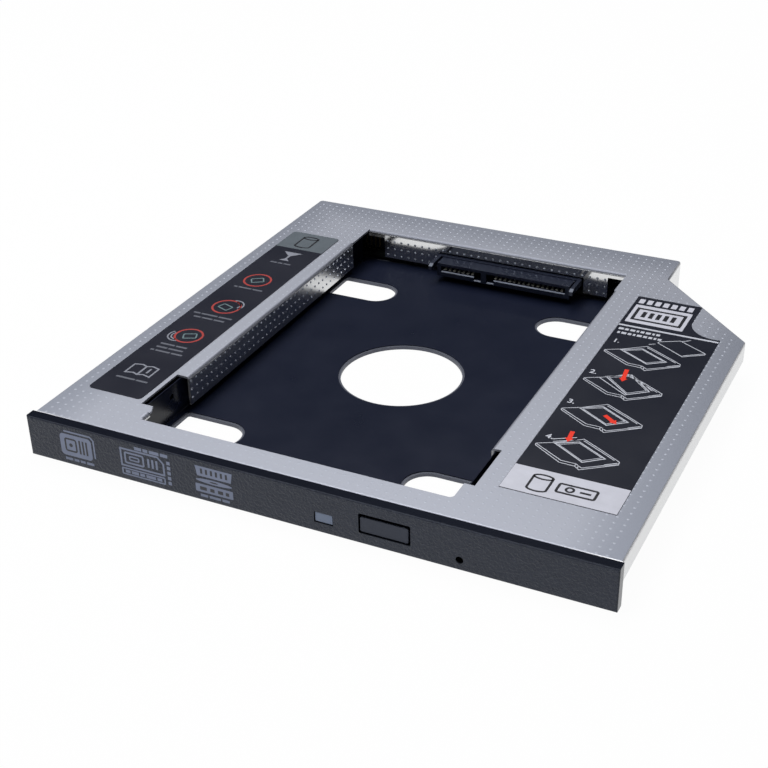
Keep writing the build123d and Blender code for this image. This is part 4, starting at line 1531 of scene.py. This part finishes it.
@dataclass
class Studio:
    """The camera, lamps and white floor of the product photograph."""

    camera_place: tuple[float, float, float] = (0.115437, -0.25666, 0.157626)
    yaw: float = -0.4598
    pitch: float = 0.5318
    roll: float = 0.0204
    focal_pixels: float = 1398.966
    middle: Point = (389.707, 408.133)
    picture: int = 768
    sensor: float = 36.0
    clip: Point = (0.01, 20.0)
    backdrop_rise: Point = (0.1, 0.16)
    room_colour: Colour = (0.8, 0.88, 1.0, 1.0)
    room_strength: float = 0.05
    paper_colour: Colour = (0.85, 0.85, 0.86, 1.0)
    paper_glow: float = 0.97
    floor_half: float = 3.0
    floor_gap_mm: float = 0.05
    boxes: tuple[SoftBox, ...] = (
        SoftBox("overhead_box", (-0.17, 0.16, 0.8), (0.6, 0.6), 6.6),
        SoftBox("front_box", (-0.05, -0.9, 0.06), (0.8, 0.1), 1.1),
        SoftBox("left_box", (-0.23, -0.26, 0.6), (0.2, 0.2), 1.1),
    )

    def build(self) -> None:
        """Set up the whole studio."""
        self.camera()
        self.world()
        self.floor()
        for box in self.boxes:
            self.hang(box)
        bpy.context.scene.view_settings.view_transform = "Standard"

    def camera(self) -> None:
        """Place the camera that the photograph was solved for."""
        data = bpy.data.cameras.new("photo_camera")
        data.sensor_width = self.sensor
        data.lens = self.focal_pixels * self.sensor / self.picture
        data.shift_x = (self.picture / 2 - self.middle[0]) / self.picture
        data.shift_y = (self.middle[1] - self.picture / 2) / self.picture
        data.clip_start, data.clip_end = self.clip
        camera = bpy.data.objects.new("photo_camera", data)
        bpy.context.scene.collection.objects.link(camera)
        sin_y, cos_y = math.sin(self.yaw), math.cos(self.yaw)
        sin_p, cos_p = math.sin(self.pitch), math.cos(self.pitch)
        forward = Vector((sin_y * cos_p, cos_y * cos_p, -sin_p))
        across = Vector((cos_y, -sin_y, 0.0))
        down = forward.cross(across)
        cos_r, sin_r = math.cos(self.roll), math.sin(self.roll)
        right = across * cos_r + down * sin_r
        lower = down * cos_r - across * sin_r
        turn = Matrix((right, -lower, -forward)).transposed().to_4x4()
        camera.matrix_world = Matrix.Translation(Vector(self.camera_place)) @ turn
        bpy.context.scene.camera = camera

    def world(self) -> None:
        """Fill the room with even light, and show white behind the caddy to the camera and to its shine."""
        world = bpy.data.worlds.new("studio")
        bpy.context.scene.world = world
        world.use_nodes = True
        tree = world.node_tree
        tree.nodes.clear()
        ray = add_node(tree, "ShaderNodeLightPath").outputs
        room, white = (
            add_node(tree, "ShaderNodeBackground", {"Color": colour, "Strength": strength}).outputs[0]
            for colour, strength in ((self.room_colour, self.room_strength), (WHITE, 1.0))
        )
        way = add_node(tree, "ShaderNodeTexCoord").outputs["Generated"]
        rise = add_node(tree, "ShaderNodeSeparateXYZ", {"Vector": way}).outputs["Z"]
        low, high = self.backdrop_rise
        backdrop = add_node(
            tree,
            "ShaderNodeMapRange",
            {"Value": rise, "From Min": low, "From Max": high, "To Min": 1.0, "To Max": 0.0},
        ).outputs["Result"]
        mirrored = add_node(
            tree, "ShaderNodeMath", {0: ray["Is Glossy Ray"], 1: backdrop}, operation="MULTIPLY"
        ).outputs[0]
        share = self.either(tree, (ray["Is Camera Ray"], ray["Is Transmission Ray"], mirrored))
        mix = add_node(tree, "ShaderNodeMixShader", {0: share, 1: room, 2: white})
        add_node(tree, "ShaderNodeOutputWorld", {"Surface": mix.outputs[0]})

    @staticmethod
    def either(tree: Tree, shares: Sequence[Socket]) -> Socket:
        """Find the largest of some shares.

        Args:
            tree: The tree.
            shares: The shares, from 0 to 1.

        Returns:
            The largest.
        """
        most = shares[0]
        for other in shares[1:]:
            most = add_node(tree, "ShaderNodeMath", {0: most, 1: other}, operation="MAXIMUM").outputs[0]
        return most

    def floor(self) -> None:
        """Lay a white floor that shows white to the camera and keeps a faint shadow."""
        shape = bmesh.new()
        bmesh.ops.create_grid(shape, x_segments=1, y_segments=1, size=self.floor_half)
        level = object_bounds()[0].z - self.floor_gap_mm * MM
        bmesh.ops.translate(shape, verts=shape.verts, vec=(0.0, 0.0, level))
        mesh = bpy.data.meshes.new("studio_floor")
        shape.to_mesh(mesh)
        shape.free()
        floor = bpy.data.objects.new("studio_floor", mesh)
        bpy.context.scene.collection.objects.link(floor)
        paper = bpy.data.materials.new("white_paper")
        paper.use_nodes = True
        tree = paper.node_tree
        tree.nodes.clear()
        ray = add_node(tree, "ShaderNodeLightPath").outputs
        lit = add_node(tree, "ShaderNodeBsdfDiffuse", {"Color": self.paper_colour}).outputs[0]
        glow = add_node(tree, "ShaderNodeEmission", {"Color": WHITE, "Strength": 1.0}).outputs[0]
        seen = self.either(tree, (ray["Is Camera Ray"], ray["Is Glossy Ray"], ray["Is Transmission Ray"]))
        share = add_node(tree, "ShaderNodeMath", {0: seen, 1: self.paper_glow}, operation="MULTIPLY")
        mix = add_node(tree, "ShaderNodeMixShader", {0: share.outputs[0], 1: lit, 2: glow})
        add_node(tree, "ShaderNodeOutputMaterial", {"Surface": mix.outputs[0]})
        mesh.materials.append(paper)
        floor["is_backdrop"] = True

    @staticmethod
    def hang(box: SoftBox) -> None:
        """Hang a soft box, turned to the caddy.

        Args:
            box: The soft box.
        """
        data = bpy.data.lights.new(box.name, "AREA")
        data.shape = "RECTANGLE"
        data.size, data.size_y = box.size
        data.energy = box.power
        lamp = bpy.data.objects.new(box.name, data)
        bpy.context.scene.collection.objects.link(lamp)
        lamp.location = box.place
        lamp.rotation_mode = "QUATERNION"
        lamp.rotation_quaternion = (-Vector(box.place)).to_track_quat("-Z", "Y")


def main() -> None:
    """Build the caddy's looks and the studio."""
    logging.basicConfig(level=logging.INFO, format="%(name)s: %(message)s")
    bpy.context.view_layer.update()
    datum = Datum.of_frame()
    for part in (
        SheetBody(datum),
        FrontPanel(datum),
        Connectors(),
        Fasteners(),
        LeftLabel(datum),
        RightLabel(datum),
        Studio(),
    ):
        part.build()


if __name__ == "__main__":
    main()
